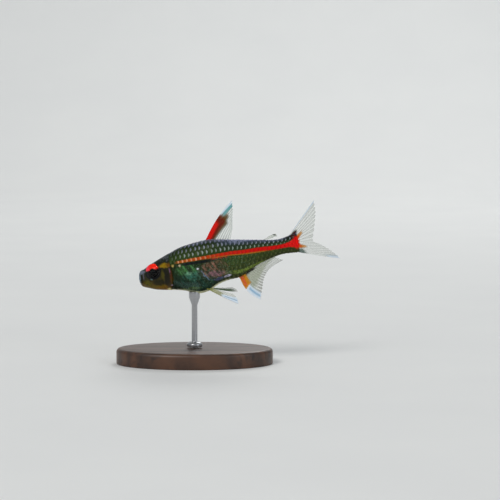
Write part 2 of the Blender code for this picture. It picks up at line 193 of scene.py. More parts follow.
def mix(factor, first, second):
    """First colour at factor 0, second at 1."""
    return node("Mix", {0: factor, 6: paint(first), 7: paint(second)}, 2, data_type="RGBA")


def ramp(value, stops):
    """A colour that runs through the stops, each a place from 0 to 1 with its colour."""
    made = node("ValToRGB", {"Fac": value})
    elements = made.socket.node.color_ramp.elements
    elements.remove(elements[1])
    elements[0].position = stops[0][0]
    elements[0].color = paint(stops[0][1])
    for at, colour in stops[1:]:
        elements.new(at).color = paint(colour)
    return made


def noise(vector, scale, detail=3.0, distortion=0.0, output="Fac"):
    values = {"Vector": vector, "Scale": scale, "Detail": detail, "Distortion": distortion}
    return node("TexNoise", values, output)


def bump(height, distance, strength=1.0):
    return node("Bump", {"Height": height, "Distance": distance, "Strength": strength}, "Normal")


def attribute(tree, name):
    return node("Attribute", {}, "Vector", tree, attribute_name=name)


def object_place(tree):
    return node("TexCoord", {}, "Object", tree)


def new_material(name):
    material = bpy.data.materials.new(name)
    material.use_nodes = True
    return material, material.node_tree


def dress(material, **values):
    """Feeds the main shader's inputs, named with underscores for spaces."""
    inputs = material.node_tree.nodes["Principled BSDF"].inputs
    feed(inputs, {name.replace("_", " "): value for name, value in values.items()})
    return material


# %% [markdown]
# ## Building meshes from grids
# The floor, skin, scales, eyes and fins all begin as a flat grid that an operator makes, whose points
# are then carried to their places by a formula. One helper makes the grid, and another turns the
# finished bmesh into an object that rides on the model and wears the finish it is given.

# %% Grid and object helpers
def unit_grid(columns, rows):
    """A flat grid as a bmesh, with u and v of every point from 0 to 1."""
    bm = bmesh.new()
    bmesh.ops.create_grid(bm, x_segments=columns, y_segments=rows, size=0.5)
    uv = np.array([vert.co[:2] for vert in bm.verts]) + 0.5
    return bm, np.round(uv[:, 0] * columns) / columns, np.round(uv[:, 1] * rows) / rows


def two_sided(bm):
    """Closes a flat grid into a thin plate, and gives the points of its outer face."""
    made = bmesh.ops.extrude_face_region(bm, geom=bm.faces[:])["geom"]
    return {part for part in made if isinstance(part, bmesh.types.BMVert)}


def carry(bm, points):
    for vert, point in zip(bm.verts, points):
        vert.co = point


def set_layer(bm, name, values):
    """Keeps three numbers for each point, which the shaders read by name."""
    layer = bm.verts.layers.float_vector.new(name)
    for vert, value in zip(bm.verts, values):
        vert[layer] = value


def smooth_object(name, bm, material):
    mesh = bpy.data.meshes.new(name)
    bm.to_mesh(mesh)
    bm.free()
    mesh.shade_smooth()
    mesh.materials.append(material)
    return add_object(name, mesh)


def finish_piece(name, bm, material, replaced=()):
    """Makes the object, sets its faces outwards, and ties it to the model."""
    bm.normal_update()
    bmesh.ops.recalc_face_normals(bm, faces=bm.faces[:])
    piece = smooth_object(name, bm, material)
    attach(piece, "root")
    if replaced:
        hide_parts(*replaced)
    print(name, "has", len(piece.data.polygons), "faces")
    return piece


# %% [markdown]
# ## The room
# The model stands on a plain pale floor that curves up into a backdrop far behind it, like a roll of
# paper in a photographer's studio. Two large soft lamps light the side that is seen, a third from
# behind and above draws the bright rims that make thin fins readable.

# %% Floor and backdrop
FLOOR_REACH, FLOOR_BACK, FLOOR_CURVE, BACKDROP_HEIGHT = 0.9, 0.75, 0.25, 0.8
CURVE_STEPS = 12


def paper_material():
    material, tree = new_material("pale paper")
    colour = mix(noise(object_place(tree), 30.0), (226, 227, 226), (232, 233, 231))
    return dress(material, Base_Color=colour, Roughness=0.85, Specular_IOR_Level=0.2)


curve = np.linspace(0.0, math.pi / 2, CURVE_STEPS + 1)
curve_y = FLOOR_BACK - FLOOR_CURVE * (1 - np.sin(curve))
curve_z = FLOOR_CURVE * (1 - np.cos(curve))
paper_y = np.array([-FLOOR_REACH, *curve_y, FLOOR_BACK])
paper_z = np.array([0.0, *curve_z, FLOOR_CURVE + BACKDROP_HEIGHT])
floor_bm, across_paper, along_paper = unit_grid(1, CURVE_STEPS + 2)
row = np.round(along_paper * (CURVE_STEPS + 2)).astype(int)
carry(floor_bm, np.stack([(2 * across_paper - 1) * FLOOR_REACH, paper_y[row], paper_z[row]], axis=-1))
floor = smooth_object("floor", floor_bm, paper_material())
floor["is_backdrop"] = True
print("floor faces:", len(floor.data.polygons))

# %% Lamps and sky
TARGET = Vector((2.0, 0.0, 20.0)) * MM

# Each lamp: name, place and size in mm, power, colour.
LAMPS = (
    ("key", (-500, -800, 800), 420, 6.5, (1.0, 0.98, 0.95)),
    ("fill", (800, -600, 400), 500, 1.8, (0.94, 0.97, 1.0)),
    ("rim", (150, 550, 500), 300, 1.5, (1.0, 1.0, 1.0)),
)

for name, place_mm, size_mm, power, colour in LAMPS:
    lamp = add_object(name, bpy.data.lights.new(name, "AREA"))
    lamp.data.size = size_mm * MM
    lamp.data.energy = power
    lamp.data.color = colour
    lamp.location = Vector(place_mm) * MM
    lamp.rotation_euler = (TARGET - lamp.location).to_track_quat("-Z", "Y").to_euler()
sky = bpy.data.worlds.new("soft sky")
sky.use_nodes = True
feed(sky.node_tree.nodes["Background"].inputs, {"Color": (0.86, 0.90, 0.95, 1.0), "Strength": 0.36})
bpy.context.scene.world = sky
bpy.context.scene.view_settings.view_transform = "Standard"
print("lamps:", len(LAMPS))

# %% [markdown]
# ## The fish's own coordinates
# A bent fish is hard to draw in straight coordinates, so every point of it is given in the fish's own:
# a place along the midline from the snout, a step across to its right, and a height above its axis,
# all in millimetres. One function bends the midline as the fish bends and tips the nose down.
# Markings use the same coordinates, so a stripe follows the body however it curves.

# %% Curves through a few measured points
def smooth_curve(points):
    """A curve through (place, value) pairs that never overshoots them. Values may be tuples."""
    places = np.array([at for at, _ in points], float)
    values = np.array([value for _, value in points], float).reshape(len(places), -1)
    rise = np.diff(values, axis=0) / np.diff(places)[:, None]
    slope = np.vstack([rise[:1], np.zeros_like(rise[1:]), rise[-1:]])
    product = rise[:-1] * rise[1:]
    total = np.where(product > 0, rise[:-1] + rise[1:], 1.0)
    slope[1:-1] = np.where(product > 0, 2 * product / total, 0.0)

    def value(at):
        at = np.clip(np.asarray(at, float), places[0], places[-1])
        k = np.clip(np.searchsorted(places, at, side="right") - 1, 0, len(places) - 2)
        width = places[k + 1] - places[k]
        t = ((at - places[k]) / width)[..., None]
        found = values[k] * (1 - ease(t)) + values[k + 1] * ease(t)
        found = found + width[..., None] * t * (1 - t) * (slope[k] * (1 - t) - slope[k + 1] * t)
        return found[..., 0] if found.shape[-1] == 1 else found

    return value


def ease(t):
    """0 at 0 and 1 at 1, with a soft start and end."""
    t = np.clip(t, 0.0, 1.0)
    return t * t * (3 - 2 * t)


# %% Bend the midline
HEAD_TURN, HEAD_TURN_PLACES = -27.0, (7.5, 18.0)
TAIL_TURN, TAIL_TURN_PLACES = 30.0, (25.0, 33.0)
NOSE_DOWN = math.radians(10.0)
AXIS_HEIGHT = 18.4
ROD_PLACE = 12.0


def heading(s):
    """The way the midline runs in plan, in radians. Positive turns the tail away from the viewer."""
    head = HEAD_TURN * (1 - ease((s - HEAD_TURN_PLACES[0]) / np.ptp(HEAD_TURN_PLACES)))
    tail = TAIL_TURN * ease((s - TAIL_TURN_PLACES[0]) / np.ptp(TAIL_TURN_PLACES))
    return np.radians(head + tail)


MIDLINE_STEP = 0.02
midline = np.arange(-2.0, 46.0, MIDLINE_STEP)
midline_x = np.cumsum(np.cos(heading(midline))) * MIDLINE_STEP
midline_y = np.cumsum(np.sin(heading(midline))) * MIDLINE_STEP
midline_x -= np.interp(ROD_PLACE, midline, midline_x)
midline_y -= np.interp(ROD_PLACE, midline, midline_y)


def place(s, across, up):
    """World positions, in metres, of points in the fish's coordinates."""
    s, across, up = np.broadcast_arrays(np.asarray(s, float), across, up)
    turn = heading(s)
    along = np.interp(s, midline, midline_x) - np.sin(turn) * across
    aside = np.interp(s, midline, midline_y) + np.cos(turn) * across
    x = along * math.cos(NOSE_DOWN) - up * math.sin(NOSE_DOWN)
    z = along * math.sin(NOSE_DOWN) + up * math.cos(NOSE_DOWN)
    return np.stack([x, aside, AXIS_HEIGHT + z], axis=-1) * MM


print("snout at, mm:", np.round(place(0.0, 0.0, -0.8) / MM, 1))

# %% [markdown]
# ## The body's form
# The outline of the body is four curves along the midline: the back, the belly, half the width, and how
# full the section is. The section is a superellipse, rounder at the belly and squarer on the head.
# These are nearly the same few numbers that the solid model is built from. The chin is a little
# shallower, the belly a little deeper at the pelvic fins, and the back a little lower at the tail.

# %% Outline and section
SNOUT, SNOUT_ROUND, MOUTH_LEVEL = -0.08, 0.70, -0.80
WIDEST_SHARE = 0.52
back_line = smooth_curve((
    (0.0, 0.74), (1.2, 1.04), (2.4, 1.62), (4.2, 2.34), (7.0, 3.38), (10.6, 4.50),
    (15.3, 5.00), (19.7, 4.29), (24.4, 3.41), (29.0, 2.72), (32.0, 3.16),
))
belly_line = smooth_curve((
    (0.0, -2.20), (0.8, -2.45), (1.9, -2.78), (3.7, -3.26), (7.0, -3.67), (9.3, -4.08),
    (12.4, -5.02), (14.5, -4.68), (15.4, -4.20), (16.2, -3.82), (18.0, -3.40), (20.3, -3.22),
    (22.4, -2.30), (24.8, -1.25), (27.4, -0.58), (29.4, -0.33), (32.0, -0.58),
))
half_width = smooth_curve((
    (0.0, 1.10), (1.2, 1.40), (2.6, 1.72), (5.0, 1.98), (8.0, 2.20), (12.0, 2.35),
    (16.0, 2.10), (20.0, 1.68), (24.0, 1.25), (28.0, 0.88), (31.0, 0.60), (32.0, 0.50),
))
fullness = smooth_curve(((0.0, 0.80), (8.0, 0.88), (14.0, 1.0), (32.0, 1.0)))


def snout_round(s):
    """Share of the full section that the blunt, round snout has reached."""
    t = np.clip((s - SNOUT) / SNOUT_ROUND, 0.0, 1.0)
    return np.sqrt(1 - (1 - t) ** 2)


def back(s):
    return MOUTH_LEVEL + (back_line(s) - MOUTH_LEVEL) * snout_round(s)


def belly(s):
    return MOUTH_LEVEL + (belly_line(s) - MOUTH_LEVEL) * snout_round(s)


def section(s, angle):
    """Across and up on the section. Angle 0 is the right flank and a quarter turn the back."""
    widest = belly(s) + WIDEST_SHARE * (back(s) - belly(s))
    reach = np.where(np.sin(angle) > 0, back(s) - widest, widest - belly(s))
    lean, lift = (np.sign(way) * np.abs(way) ** fullness(s) for way in (np.cos(angle), np.sin(angle)))
    return half_width(s) * snout_round(s) * lean, widest + reach * lift


def surface(s, angle, proud=0.0):
    """Across and up of points that stand proud of the section, square to it."""
    step = 0.01
    after, before = section(s, angle + step), section(s, angle - step)
    run_across, run_up = after[0] - before[0], after[1] - before[1]
    length = np.maximum(np.hypot(run_across, run_up), 1e-9)
    across, up = section(s, angle)
    return across + proud * run_up / length, up - proud * run_across / length


print("deepest, mm:", round(float(np.max(back(midline) - belly(midline))), 2))

# %% [markdown]
# ## Markings
# A glowlight tetra is olive to brown, with one glowing stripe from the head to the tail, a dark line
# under its front half, a dark belly cavity that shows through the flank, and a silvery keel. The keel's
# near white is brightened with painted rim light, and the blue-lilac along the back is painted sheen.
# Scales and skin have to show the same markings, so one function paints both. It reads two attributes:
# the fish's own coordinates, and a set that says how far a point is from the stripe's middle, how
# high it sits between belly and back, and how far along the fish it lies.

# %% The stripe's course
stripe_middle = smooth_curve((
    (0.0, 0.90), (7.0, 1.10), (8.2, 1.38), (9.4, 1.66), (12.3, 1.80), (16.3, 1.84), (19.2, 1.80),
    (22.1, 1.58), (24.9, 1.50), (27.6, 1.30), (29.0, 1.26), (32.0, 1.33),
))
stripe_width = smooth_curve((
    (7.0, 0.36), (10.0, 0.48), (13.0, 0.56), (17.0, 0.60), (19.3, 0.64), (22.0, 0.72), (25.0, 0.78),
    (27.5, 0.74), (29.0, 0.74), (30.0, 0.86), (30.6, 1.02), (31.4, 1.50), (32.2, 2.25), (32.8, 2.30),
))


def marks(s, up):
    """Height above the stripe's middle in half widths, share of the height, and place along."""
    offset = (up - stripe_middle(s)) / (stripe_width(s) / 2)
    share = (up - belly(s)) / np.maximum(back(s) - belly(s), 0.1)
    return np.stack([offset, share, s], axis=-1)


# %% Paint shared by skin and scales
OLIVE = (54, 76, 26)
DEEP_OLIVE = (30, 46, 14)
# The ridge's blue-lilac is painted sheen along the back.
RIDGE_SHEEN = (108, 116, 136)
BELLY_DARK = (14, 26, 16)
# The keel's near white is silvery skin brightened by painted rim light.
KEEL_AND_RIM_LIGHT = (248, 248, 200)
DARK_LINE = (8, 12, 22)
GOLD_LINE = (206, 124, 24)
PINK_LINE = (196, 40, 54)
BAND = (142, 166, 62)
SPECK_HIGHLIGHT = (132, 176, 148)

# The ground colours from keel to ridge, and the stripe's from the snout backwards, 1 being 40 mm.
# The lilac at the ridge's end of both ramps is painted sheen along the back.
FRONT_GROUND = (
    (0.0, KEEL_AND_RIM_LIGHT), (0.030, KEEL_AND_RIM_LIGHT), (0.050, BELLY_DARK), (0.14, (16, 32, 22)), (0.40, (20, 42, 22)),
    (0.60, DEEP_OLIVE), (0.74, OLIVE), (0.93, DEEP_OLIVE), (1.0, RIDGE_SHEEN),
)
REAR_GROUND = (
    (0.0, (52, 56, 16)), (0.06, (54, 60, 14)), (0.30, (58, 70, 18)), (0.55, OLIVE),
    (0.84, (34, 52, 32)), (0.94, (60, 72, 96)), (1.0, (132, 136, 176)),
)
STRIPE_REDS = (
    (0.20, (116, 80, 22)), (0.27, (176, 88, 24)), (0.36, (186, 66, 12)), (0.46, (200, 30, 3)),
    (0.60, (206, 8, 0)), (0.72, (216, 4, 0)), (0.80, (250, 6, 0)),
)
STRIPE_SCALE = 40

# Each patch: middle (place, height), radii, colour, strength, share of it that follows the streaks.
TRUNK_PATCHES = (
    ((12.4, -2.3), (3.4, 1.9), (28, 72, 62), 0.9, 0.9),
    ((11.2, 0.0), (1.9, 1.0), (84, 146, 80), 0.95, 0.95),
    ((12.2, -1.2), (1.8, 0.9), (68, 130, 110), 0.7, 0.95),
    ((11.0, -3.75), (2.0, 0.30), (96, 118, 44), 0.7, 0.5),
    ((11.6, -0.65), (0.65, 0.28), (126, 178, 146), 0.8, 0.5),
    ((18.1, -1.65), (0.70, 0.32), (132, 152, 112), 0.6, 0.6),
    ((15.9, -0.7), (2.4, 1.5), (168, 114, 96), 0.95, 0.9),
    ((16.0, -1.5), (1.5, 0.5), (176, 124, 150), 0.7, 0.7),
    ((16.4, -2.65), (0.9, 0.3), (92, 92, 146), 0.75, 0.4),
    ((18.1, -2.40), (0.75, 0.22), (216, 210, 236), 0.9, 0.2),
    # A pale lilac band of painted sheen along the back behind the dorsal fin.
    ((21.9, 3.85), (2.4, 0.42), (150, 158, 190), 0.65, 0.3),
    ((31.3, 2.75), (1.3, 0.55), (12, 16, 22), 0.95, 0.0),
    ((31.9, 2.55), (0.6, 0.40), (84, 12, 6), 0.9, 0.0),
)
BRIGHT_DOTS = (
    ((8.67, 1.15), (0.24, 0.22), (236, 204, 112), 0.95),
    ((10.05, 1.02), (0.22, 0.20), (240, 220, 180), 0.95),
    ((13.20, -0.05), (0.17, 0.17), (232, 234, 246), 0.95),
)
STREAK_LEAN = math.radians(29)
# This patch's middle is given in the leaning coordinates.
BLUE_STREAK = ((11.6244, -8.2157), (0.16, 1.25), (118, 140, 166), 0.8)


def wobble(vector, scale, amount):
    """Shifts positions by soft noise, so that the edges painted with them wander."""
    centred = vector_calc("SUBTRACT", noise(vector, scale, output="Color"), (0.5, 0.5, 0.5))
    return vector_calc("ADD", vector, vector_calc("MULTIPLY", centred, (amount, amount, amount)))


def patch(fish, centre, radii, soft=0.35):
    """A soft oval mask in the fish's coordinates, alike on both sides."""
    moved = vector_calc("SUBTRACT", fish, (centre[0], 0.0, centre[1]))
    scaled = vector_calc("MULTIPLY", moved, (1 / radii[0], 0.0, 1 / radii[1]))
    return fade(node("VectorMath", {0: scaled}, "Value", operation="LENGTH"), 1 + soft, 1 - soft)


def airbrush(colour, fish, patches, soft=0.35, streaks=0.0):
    """Lays soft ovals over a colour, one after another. Some are broken up by the streaks."""
    for centre, radii, tint, strength, *streaky in patches:
        mask = patch(fish, centre, radii, soft) * strength
        if streaky:
            mask = mask * (streaks * streaky[0] + (1 - streaky[0]))
        colour = mix(mask, colour, tint)
    return colour


def lean(fish):
    """The fish's coordinates turned, so that the flank's slanting streaks run straight down."""
    return node("Mapping", {"Vector": fish, "Rotation": (0.0, STREAK_LEAN, 0.0)})


def flank_paint(fish, share, along, fine):
    """The ground colours of the body, from keel to ridge, with the flank's patches over them."""
    loose = wobble(fish, 1.1, 0.9)
    drawn = node("Mapping", {"Vector": lean(fish), "Scale": (1.9, 0.8, 0.45)})
    streaks = fade(noise(drawn, 1.0, 4.0), 0.40, 0.60)
    low_keel = window(along, 9.0, 12.4, 1.2) * 0.03
    ground = mix(fade(along, 15.5, 20.0), ramp(share - low_keel, FRONT_GROUND), ramp(share, REAR_GROUND))
    colour = airbrush(ground, loose, TRUNK_PATCHES, streaks=streaks)
    colour = airbrush(colour, lean(loose), (BLUE_STREAK,))
    above_band = share - (0.643 - along * 0.0233)
    band = window(above_band, -0.055, 0.035, 0.03) * window(along, 19.4, 25.5, 1.2)
    colour = mix(band * fade(fine, 0.34, 0.56), colour, BAND)
    colour = mix(fade(fine, 0.50, 0.70) * 0.85, colour, DEEP_OLIVE)
    # Small bright specks of painted highlight over the middle of the flank.
    speck_highlights = fade(noise(fish, 6.5, 1.0), 0.58, 0.68)
    lively = window(along, 9.0, 24.0, 2.0) * window(share, 0.10, 0.62, 0.08)
    return mix(speck_highlights * lively * 0.38, colour, SPECK_HIGHLIGHT)


def body_paint(tree):
    """The colour of the trunk and tail, and a mask of the stripe."""
    fish = attribute(tree, "fish")
    offset, share, along = split(attribute(tree, "marks"))
    fine = noise(fish, 3.5)
    dark_line = window(offset, -3.3, -1.6, 0.4) * window(along, 10.5, 15.8, 1.0)
    colour = mix(dark_line, flank_paint(fish, share, along, fine), DARK_LINE)
    colour = airbrush(colour, wobble(fish, 3.0, 0.3), BRIGHT_DOTS, 0.7)
    pink = window(offset, -2.2, -0.9, 0.4) * window(along, 15.9, 18.4, 0.8)
    colour = mix(pink * fade(fine, 0.36, 0.56), colour, PINK_LINE)
    gold = window(offset, -1.45, -0.75, 0.25) * window(along, 15.5, 26.0, 2.0)
    colour = mix(gold * 0.8, colour, GOLD_LINE)
    loosened = offset + (fine - 0.5) * 0.5
    stripe = window(loosened, -0.95, 1.0, 0.28) * fade(along, 8.9, 10.0)
    return mix(stripe, colour, ramp(along * (1 / STRIPE_SCALE), STRIPE_REDS)), stripe


# %% [markdown]
# ## The head's paint
# The head has no scales. Its bare skin is golden over the cheek and chin, and dark where the gills lie
# beneath the cover. The blue-grey at the snout is a painted highlight where the snout's rim and lips
# catch the light, and a near black oval in the fold behind the lip is painted shade. The cover's rear
# edge is reddish brown, with a painted lilac sheen. A ring of painted shade lies round the eye, with a
# small painted highlight below it. Each of these is a soft oval laid over the one before, as an airbrush
# would lay them, and noise makes its edge wander. A third attribute says how far behind the cover's
# free edge a point lies, how high it sits on the flank, and how far it is from the eye.

# %% Paint of the head
HEAD_GROUND = (
    (0.0, (190, 150, 60)), (0.10, (104, 78, 8)), (0.45, (44, 42, 10)), (0.75, (32, 40, 16)),
    (1.0, (38, 50, 50)),
)
HEAD_PATCHES = (
    ((3.6, 2.1), (4.6, 0.9), (22, 30, 20), 0.85),
    ((3.4, -2.75), (3.2, 0.7), (104, 86, 4), 0.9),
    ((5.5, -3.0), (1.8, 0.5), (128, 90, 4), 0.9),
    ((2.3, -1.6), (0.8, 0.55), (84, 80, 6), 0.8),
    ((5.0, -1.7), (1.5, 0.6), (24, 26, 6), 0.85),
    ((6.9, -0.9), (1.0, 1.9), (16, 14, 3), 0.9),
    ((6.2, -0.5), (0.35, 0.9), (80, 74, 14), 0.8),
    ((6.95, 1.40), (1.15, 0.43), (150, 120, 4), 0.95),
    ((5.65, 1.20), (0.40, 0.28), (128, 84, 40), 0.8),
    ((7.9, 1.45), (0.8, 0.35), (104, 60, 12), 0.8),
    # The two blue-grey ovals on the snout are painted highlight where the lips catch the light from the
    # front,
    # and the near black oval after them is painted shade in the fold behind the lip.
    ((0.26, -0.35), (0.46, 1.5), (112, 132, 148), 0.85),
    ((1.15, 0.55), (0.95, 0.30), (112, 122, 138), 0.85),
    ((0.98, -0.80), (0.26, 0.75), (6, 14, 6), 0.9),
    ((1.55, -0.15), (0.20, 0.65), (104, 100, 116), 0.75),
    ((6.76, -3.30), (0.6, 0.26), (244, 230, 150), 0.95),
    ((7.76, -2.55), (0.26, 0.20), (190, 168, 190), 0.8),
)
NAPE_GREY = (104, 108, 116)
MOTTLE = (18, 20, 6)
COVER_BROWN = (92, 38, 4)
PAINTED_COVER_SHEEN = (112, 82, 118)
PAINTED_SOCKET_SHADE = (6, 7, 9)
EYE_GLINT = (96, 122, 122)
PORE = (14, 14, 8)


def head_paint(tree):
    fish = attribute(tree, "fish")
    share = split(attribute(tree, "marks"))[1]
    behind, tilt, round_eye = split(attribute(tree, "cover"))
    loose = wobble(fish, 1.3, 0.75)
    mottle = noise(fish, 2.2, 5.0)
    colour = airbrush(ramp(share, HEAD_GROUND), loose, HEAD_PATCHES, 0.45)
    nape = patch(loose, (6.9, 2.7), (1.3, 0.5), 0.5) * fade(mottle, 0.42, 0.64)
    colour = mix(nape * 0.8, colour, NAPE_GREY)
    colour = mix(fade(mottle, 0.46, 0.74) * 0.6, colour, MOTTLE)
    edge = window(behind, -0.45, -0.06, 0.14) * window(tilt, -25.0, 6.0, 8.0)
    colour = mix(edge * fade(mottle, 0.34, 0.54), colour, COVER_BROWN)
    # A band of painted lilac sheen just ahead of the cover's free edge.
    gleam = window(behind, -0.42, -0.24, 0.06) * window(tilt, -3.0, 12.0, 5.0)
    colour = mix(gleam * fade(mottle, 0.32, 0.50), colour, PAINTED_COVER_SHEEN)
    # A ring of painted shade round the eye socket.
    colour = mix(fade(round_eye, 1.22, 1.06) * fade(share, 0.80, 0.64), colour, PAINTED_SOCKET_SHADE)
    # A small painted highlight on the skin just below the eye.
    glint = window(round_eye, 1.03, 1.20, 0.06) * patch(fish, (3.45, -1.0), (0.24, 0.5))
    colour = mix(glint * 0.7, colour, EYE_GLINT)
    pores = fade(node("TexVoronoi", {"Vector": fish, "Scale": 4.5}, "Distance"), 0.16, 0.06)
    return mix(pores * fade(mottle, 0.45, 0.6) * 0.6, colour, PORE)


# %% [markdown]
# ## The skin
# One skin runs from the snout to the root of the tail fin, so no seam shows between the parts of the
# body. It is a tube of rings, closer together on the head, where folds and edges are small. Behind the
# head it lies deeper by the height of the scales, which will bring the body back to its full size.
# The gill cover, the mouth, the nostrils, the ring round the eye and the throat's folds are pressed
# into it by short formulas in the fish's own coordinates.

# %% Relief of the head
EYE_PLACE, EYE_HEIGHT, EYE_ACROSS = 3.98, 0.58, 1.30
EYE_RADII, EYE_BULGE = (1.76, 1.44), 0.75
MOUTH_CORNER = (2.0, -1.85)
COVER_ANGLES, COVER_REAR, COVER_FRONT = (-57.0, 30.0), (7.6, 8.50), 6.35
COVER_LOW_RUN = 0.9
NOSTRILS = ((1.42, 0.13, 0.16), (1.78, 0.17, 0.14))
NOSTRIL_TILT = 52.0
NAPE_START, NAPE_RUN = 7.9, 0.7
NAPE_EMERGE, FLANK_EMERGE = 0.9, 0.16
COAT, COAT_EDGE = 0.14, 0.10
# How far each form of the head stands out of the skin or sinks into it.
COVER_PROUD, SLIT_DEPTH, SEAM_DEPTH = 0.15, 0.06, 0.05
LIP_PROUD, GROOVE_DEPTH, BLADE_PROUD = 0.10, 0.20, 0.05
EYE_DIP, EYE_RING, CHEEK_FOLD = 0.75, 0.06, 0.035
NOSTRIL_RIM, THROAT_FOLD = 0.03, 0.03


def ridge(distance, width):
    """A rounded ridge: 1 on its line, falling away within the width."""
    return np.exp(-(distance / width) ** 2)


def flank_angle(angle):
    """Degrees above the flank's middle, alike on both sides."""
    return np.degrees(np.arctan2(np.sin(angle), np.abs(np.cos(angle))))


def coat_depth(tilt):
    """How deep the skin lies under the scales: less along the back and the keel."""
    return COAT + (COAT_EDGE - COAT) * ease((np.abs(tilt) - 35) / 40)


def cover_rear(tilt):
    """Where the gill cover ends, by the height round the body."""
    v = np.clip((tilt - COVER_ANGLES[0]) / np.ptp(COVER_ANGLES), 0.0, 1.0)
    return COVER_REAR[0] + np.ptp(COVER_REAR) * np.sin(np.pi * v) ** 0.6 - COVER_LOW_RUN * (1 - v) ** 2


def mouth_height(s):
    share = np.clip((s - SNOUT) / (MOUTH_CORNER[0] - SNOUT), 0.0, None)
    return MOUTH_LEVEL + (MOUTH_CORNER[1] - MOUTH_LEVEL) * share


def cover_relief(s, tilt):
    """The gill cover stands proud towards its free rear edge, with the gill slit behind it."""
    rear = cover_rear(tilt)
    inside = ease((tilt - COVER_ANGLES[0] + 4) / 12) * ease((COVER_ANGLES[1] + 8 - tilt) / 22)
    plate = ease((s - COVER_FRONT) / (rear - COVER_FRONT)) * ease((rear + 0.02 - s) / 0.06)
    slit = ridge(s - rear - 0.06, 0.05)
    seam = ridge(s - COVER_FRONT - 0.012 * tilt * (tilt < 0), 0.14)
    return inside * (COVER_PROUD * plate - SLIT_DEPTH * slit - SEAM_DEPTH * seam)


def mouth_relief(s, up):
    """The groove between the lips, the lips' rounded rims, and the jaw's blade at the corner."""
    off = up - mouth_height(s)
    open_part = ease((MOUTH_CORNER[0] + 0.15 - s) / 0.9) * ease((s - SNOUT) / 0.05)
    lips = LIP_PROUD * ridge(np.abs(off) - 0.20, 0.15)
    groove = GROOVE_DEPTH * ridge(off, 0.075)
    blade_off = (up - MOUTH_CORNER[1]) + 0.85 * (s - MOUTH_CORNER[0])
    blade = BLADE_PROUD * ridge(blade_off, 0.24) * ridge(s - MOUTH_CORNER[0] - 0.35, 0.6)
    return open_part * (lips - groove) + blade


def eye_share(s, up):
    """Distance from the eye's middle: 1 on its outline."""
    return np.hypot((s - EYE_PLACE) / EYE_RADII[0], (up - EYE_HEIGHT) / EYE_RADII[1])


def eye_relief(s, up):
    """The skin dips under the eyeball and swells to a soft ring round it."""
    out = eye_share(s, up)
    dip = -EYE_DIP * ease((0.96 - out) / 0.42)
    ring = EYE_RING * ridge(out - 1.08, 0.13)
    cheek = -CHEEK_FOLD * ridge(out - 1.62, 0.14) * ease((EYE_HEIGHT - up) / 0.8)
    return dip + ring + cheek


def head_relief(s, angle, across, up):
    tilt = flank_angle(angle)
    on_side = ease((np.abs(across) - 0.5) / 0.6)
    found = cover_relief(s, tilt) + mouth_relief(s, up) + eye_relief(s, up) * on_side
    for nostril_place, size, depth in NOSTRILS:
        off = np.hypot(s - nostril_place, (tilt - NOSTRIL_TILT) / 40)
        found = found - depth * ridge(off, size) + NOSTRIL_RIM * ridge(off - size * 1.5, 0.06)
    folds = np.sin((tilt + 60.0) * 0.55 + s) * ridge(tilt + 68.0, 12.0) * ridge(s - 5.6, 2.0)
    return found + THROAT_FOLD * folds


# %% Rings of the skin
SKIN_COLUMNS = 216
SKIN_END = 32.75
TAIL_THIN_FROM, TAIL_THIN = 31.2, 0.72
RING_STEP, EDGE_RING_STEP = 0.055, 0.02
RINGS_STRAIGHT_FROM = 11.0
COAT_END_RUN = 1.2

rings = np.concatenate([
    SNOUT + np.array([0.0, 0.002, 0.008, 0.02, 0.04, 0.07, 0.10, 0.14]),
    np.arange(0.12, COVER_REAR[1] - 0.10, RING_STEP),
    COVER_REAR[1] + np.arange(-0.10, 0.20, EDGE_RING_STEP),
    np.arange(COVER_REAR[1] + 0.22, 9.2, RING_STEP),
    np.linspace(9.2, SKIN_END, 125),
])


def ring_place(ring, tilt):
    """Bends the rings near the gill cover, so that one of them runs along its free edge."""
    middle, rear = COVER_REAR[1], cover_rear(tilt)
    ahead = COVER_FRONT + (ring - COVER_FRONT) * (rear - COVER_FRONT) / (middle - COVER_FRONT)
    behind = rear + (ring - middle) * (RINGS_STRAIGHT_FROM - rear) / (RINGS_STRAIGHT_FROM - middle)
    bent = np.where(ring < middle, ahead, behind)
    return np.where((ring > COVER_FRONT) & (ring < RINGS_STRAIGHT_FROM), bent, ring)


def coat_start(tilt):
    """Where scales begin: far forward on the nape, behind the gill cover on the flank."""
    nape = NAPE_START - NAPE_RUN * ease((tilt - 30) / 50)
    on_nape = ease((tilt - 20) / 14)
    return cover_rear(tilt) * (1 - on_nape) + nape * on_nape


def coat_emerge(tilt):
    """The run over which the first scales come out of the skin: short behind the gill cover."""
    gentle = np.maximum(ease((tilt - 18) / 14), ease((-tilt - 46) / 12))
    return FLANK_EMERGE + (NAPE_EMERGE - FLANK_EMERGE) * gentle


def tail_thin(s):
    """Share of the width left where the body flattens into the tail fin."""
    return 1 - TAIL_THIN * ease((s - TAIL_THIN_FROM) / (SKIN_END - TAIL_THIN_FROM))


def skin_point(s, angle):
    """Across and up of the finished skin."""
    across, up = section(s, angle)
    tilt = flank_angle(angle)
    under_coat = ease((s - coat_start(tilt)) / coat_emerge(tilt)) * ease((SKIN_END - s) / COAT_END_RUN)
    sunk = coat_depth(tilt) * under_coat
    across, up = surface(s, angle, head_relief(s, angle, across, up) - sunk)
    return across * tail_thin(s), up


# %% Make the skin
FLESH = ("head", "lower_jaw", "trunk", "tail_stem", "gill_cover_left", "gill_cover_right")


def skin_material():
    material, tree = new_material("bare skin")
    behind = split(attribute(tree, "cover"))[0]
    colour = mix(fade(behind, 0.0, 0.45), head_paint(tree), body_paint(tree)[0])
    pores = bump(noise(attribute(tree, "fish"), 6.0, 4.0), 0.04 * MM)
    return dress(material, Base_Color=colour, Normal=pores, Roughness=0.40, Coat_Weight=0.11,
                 Coat_Roughness=0.25, Specular_IOR_Level=0.10)


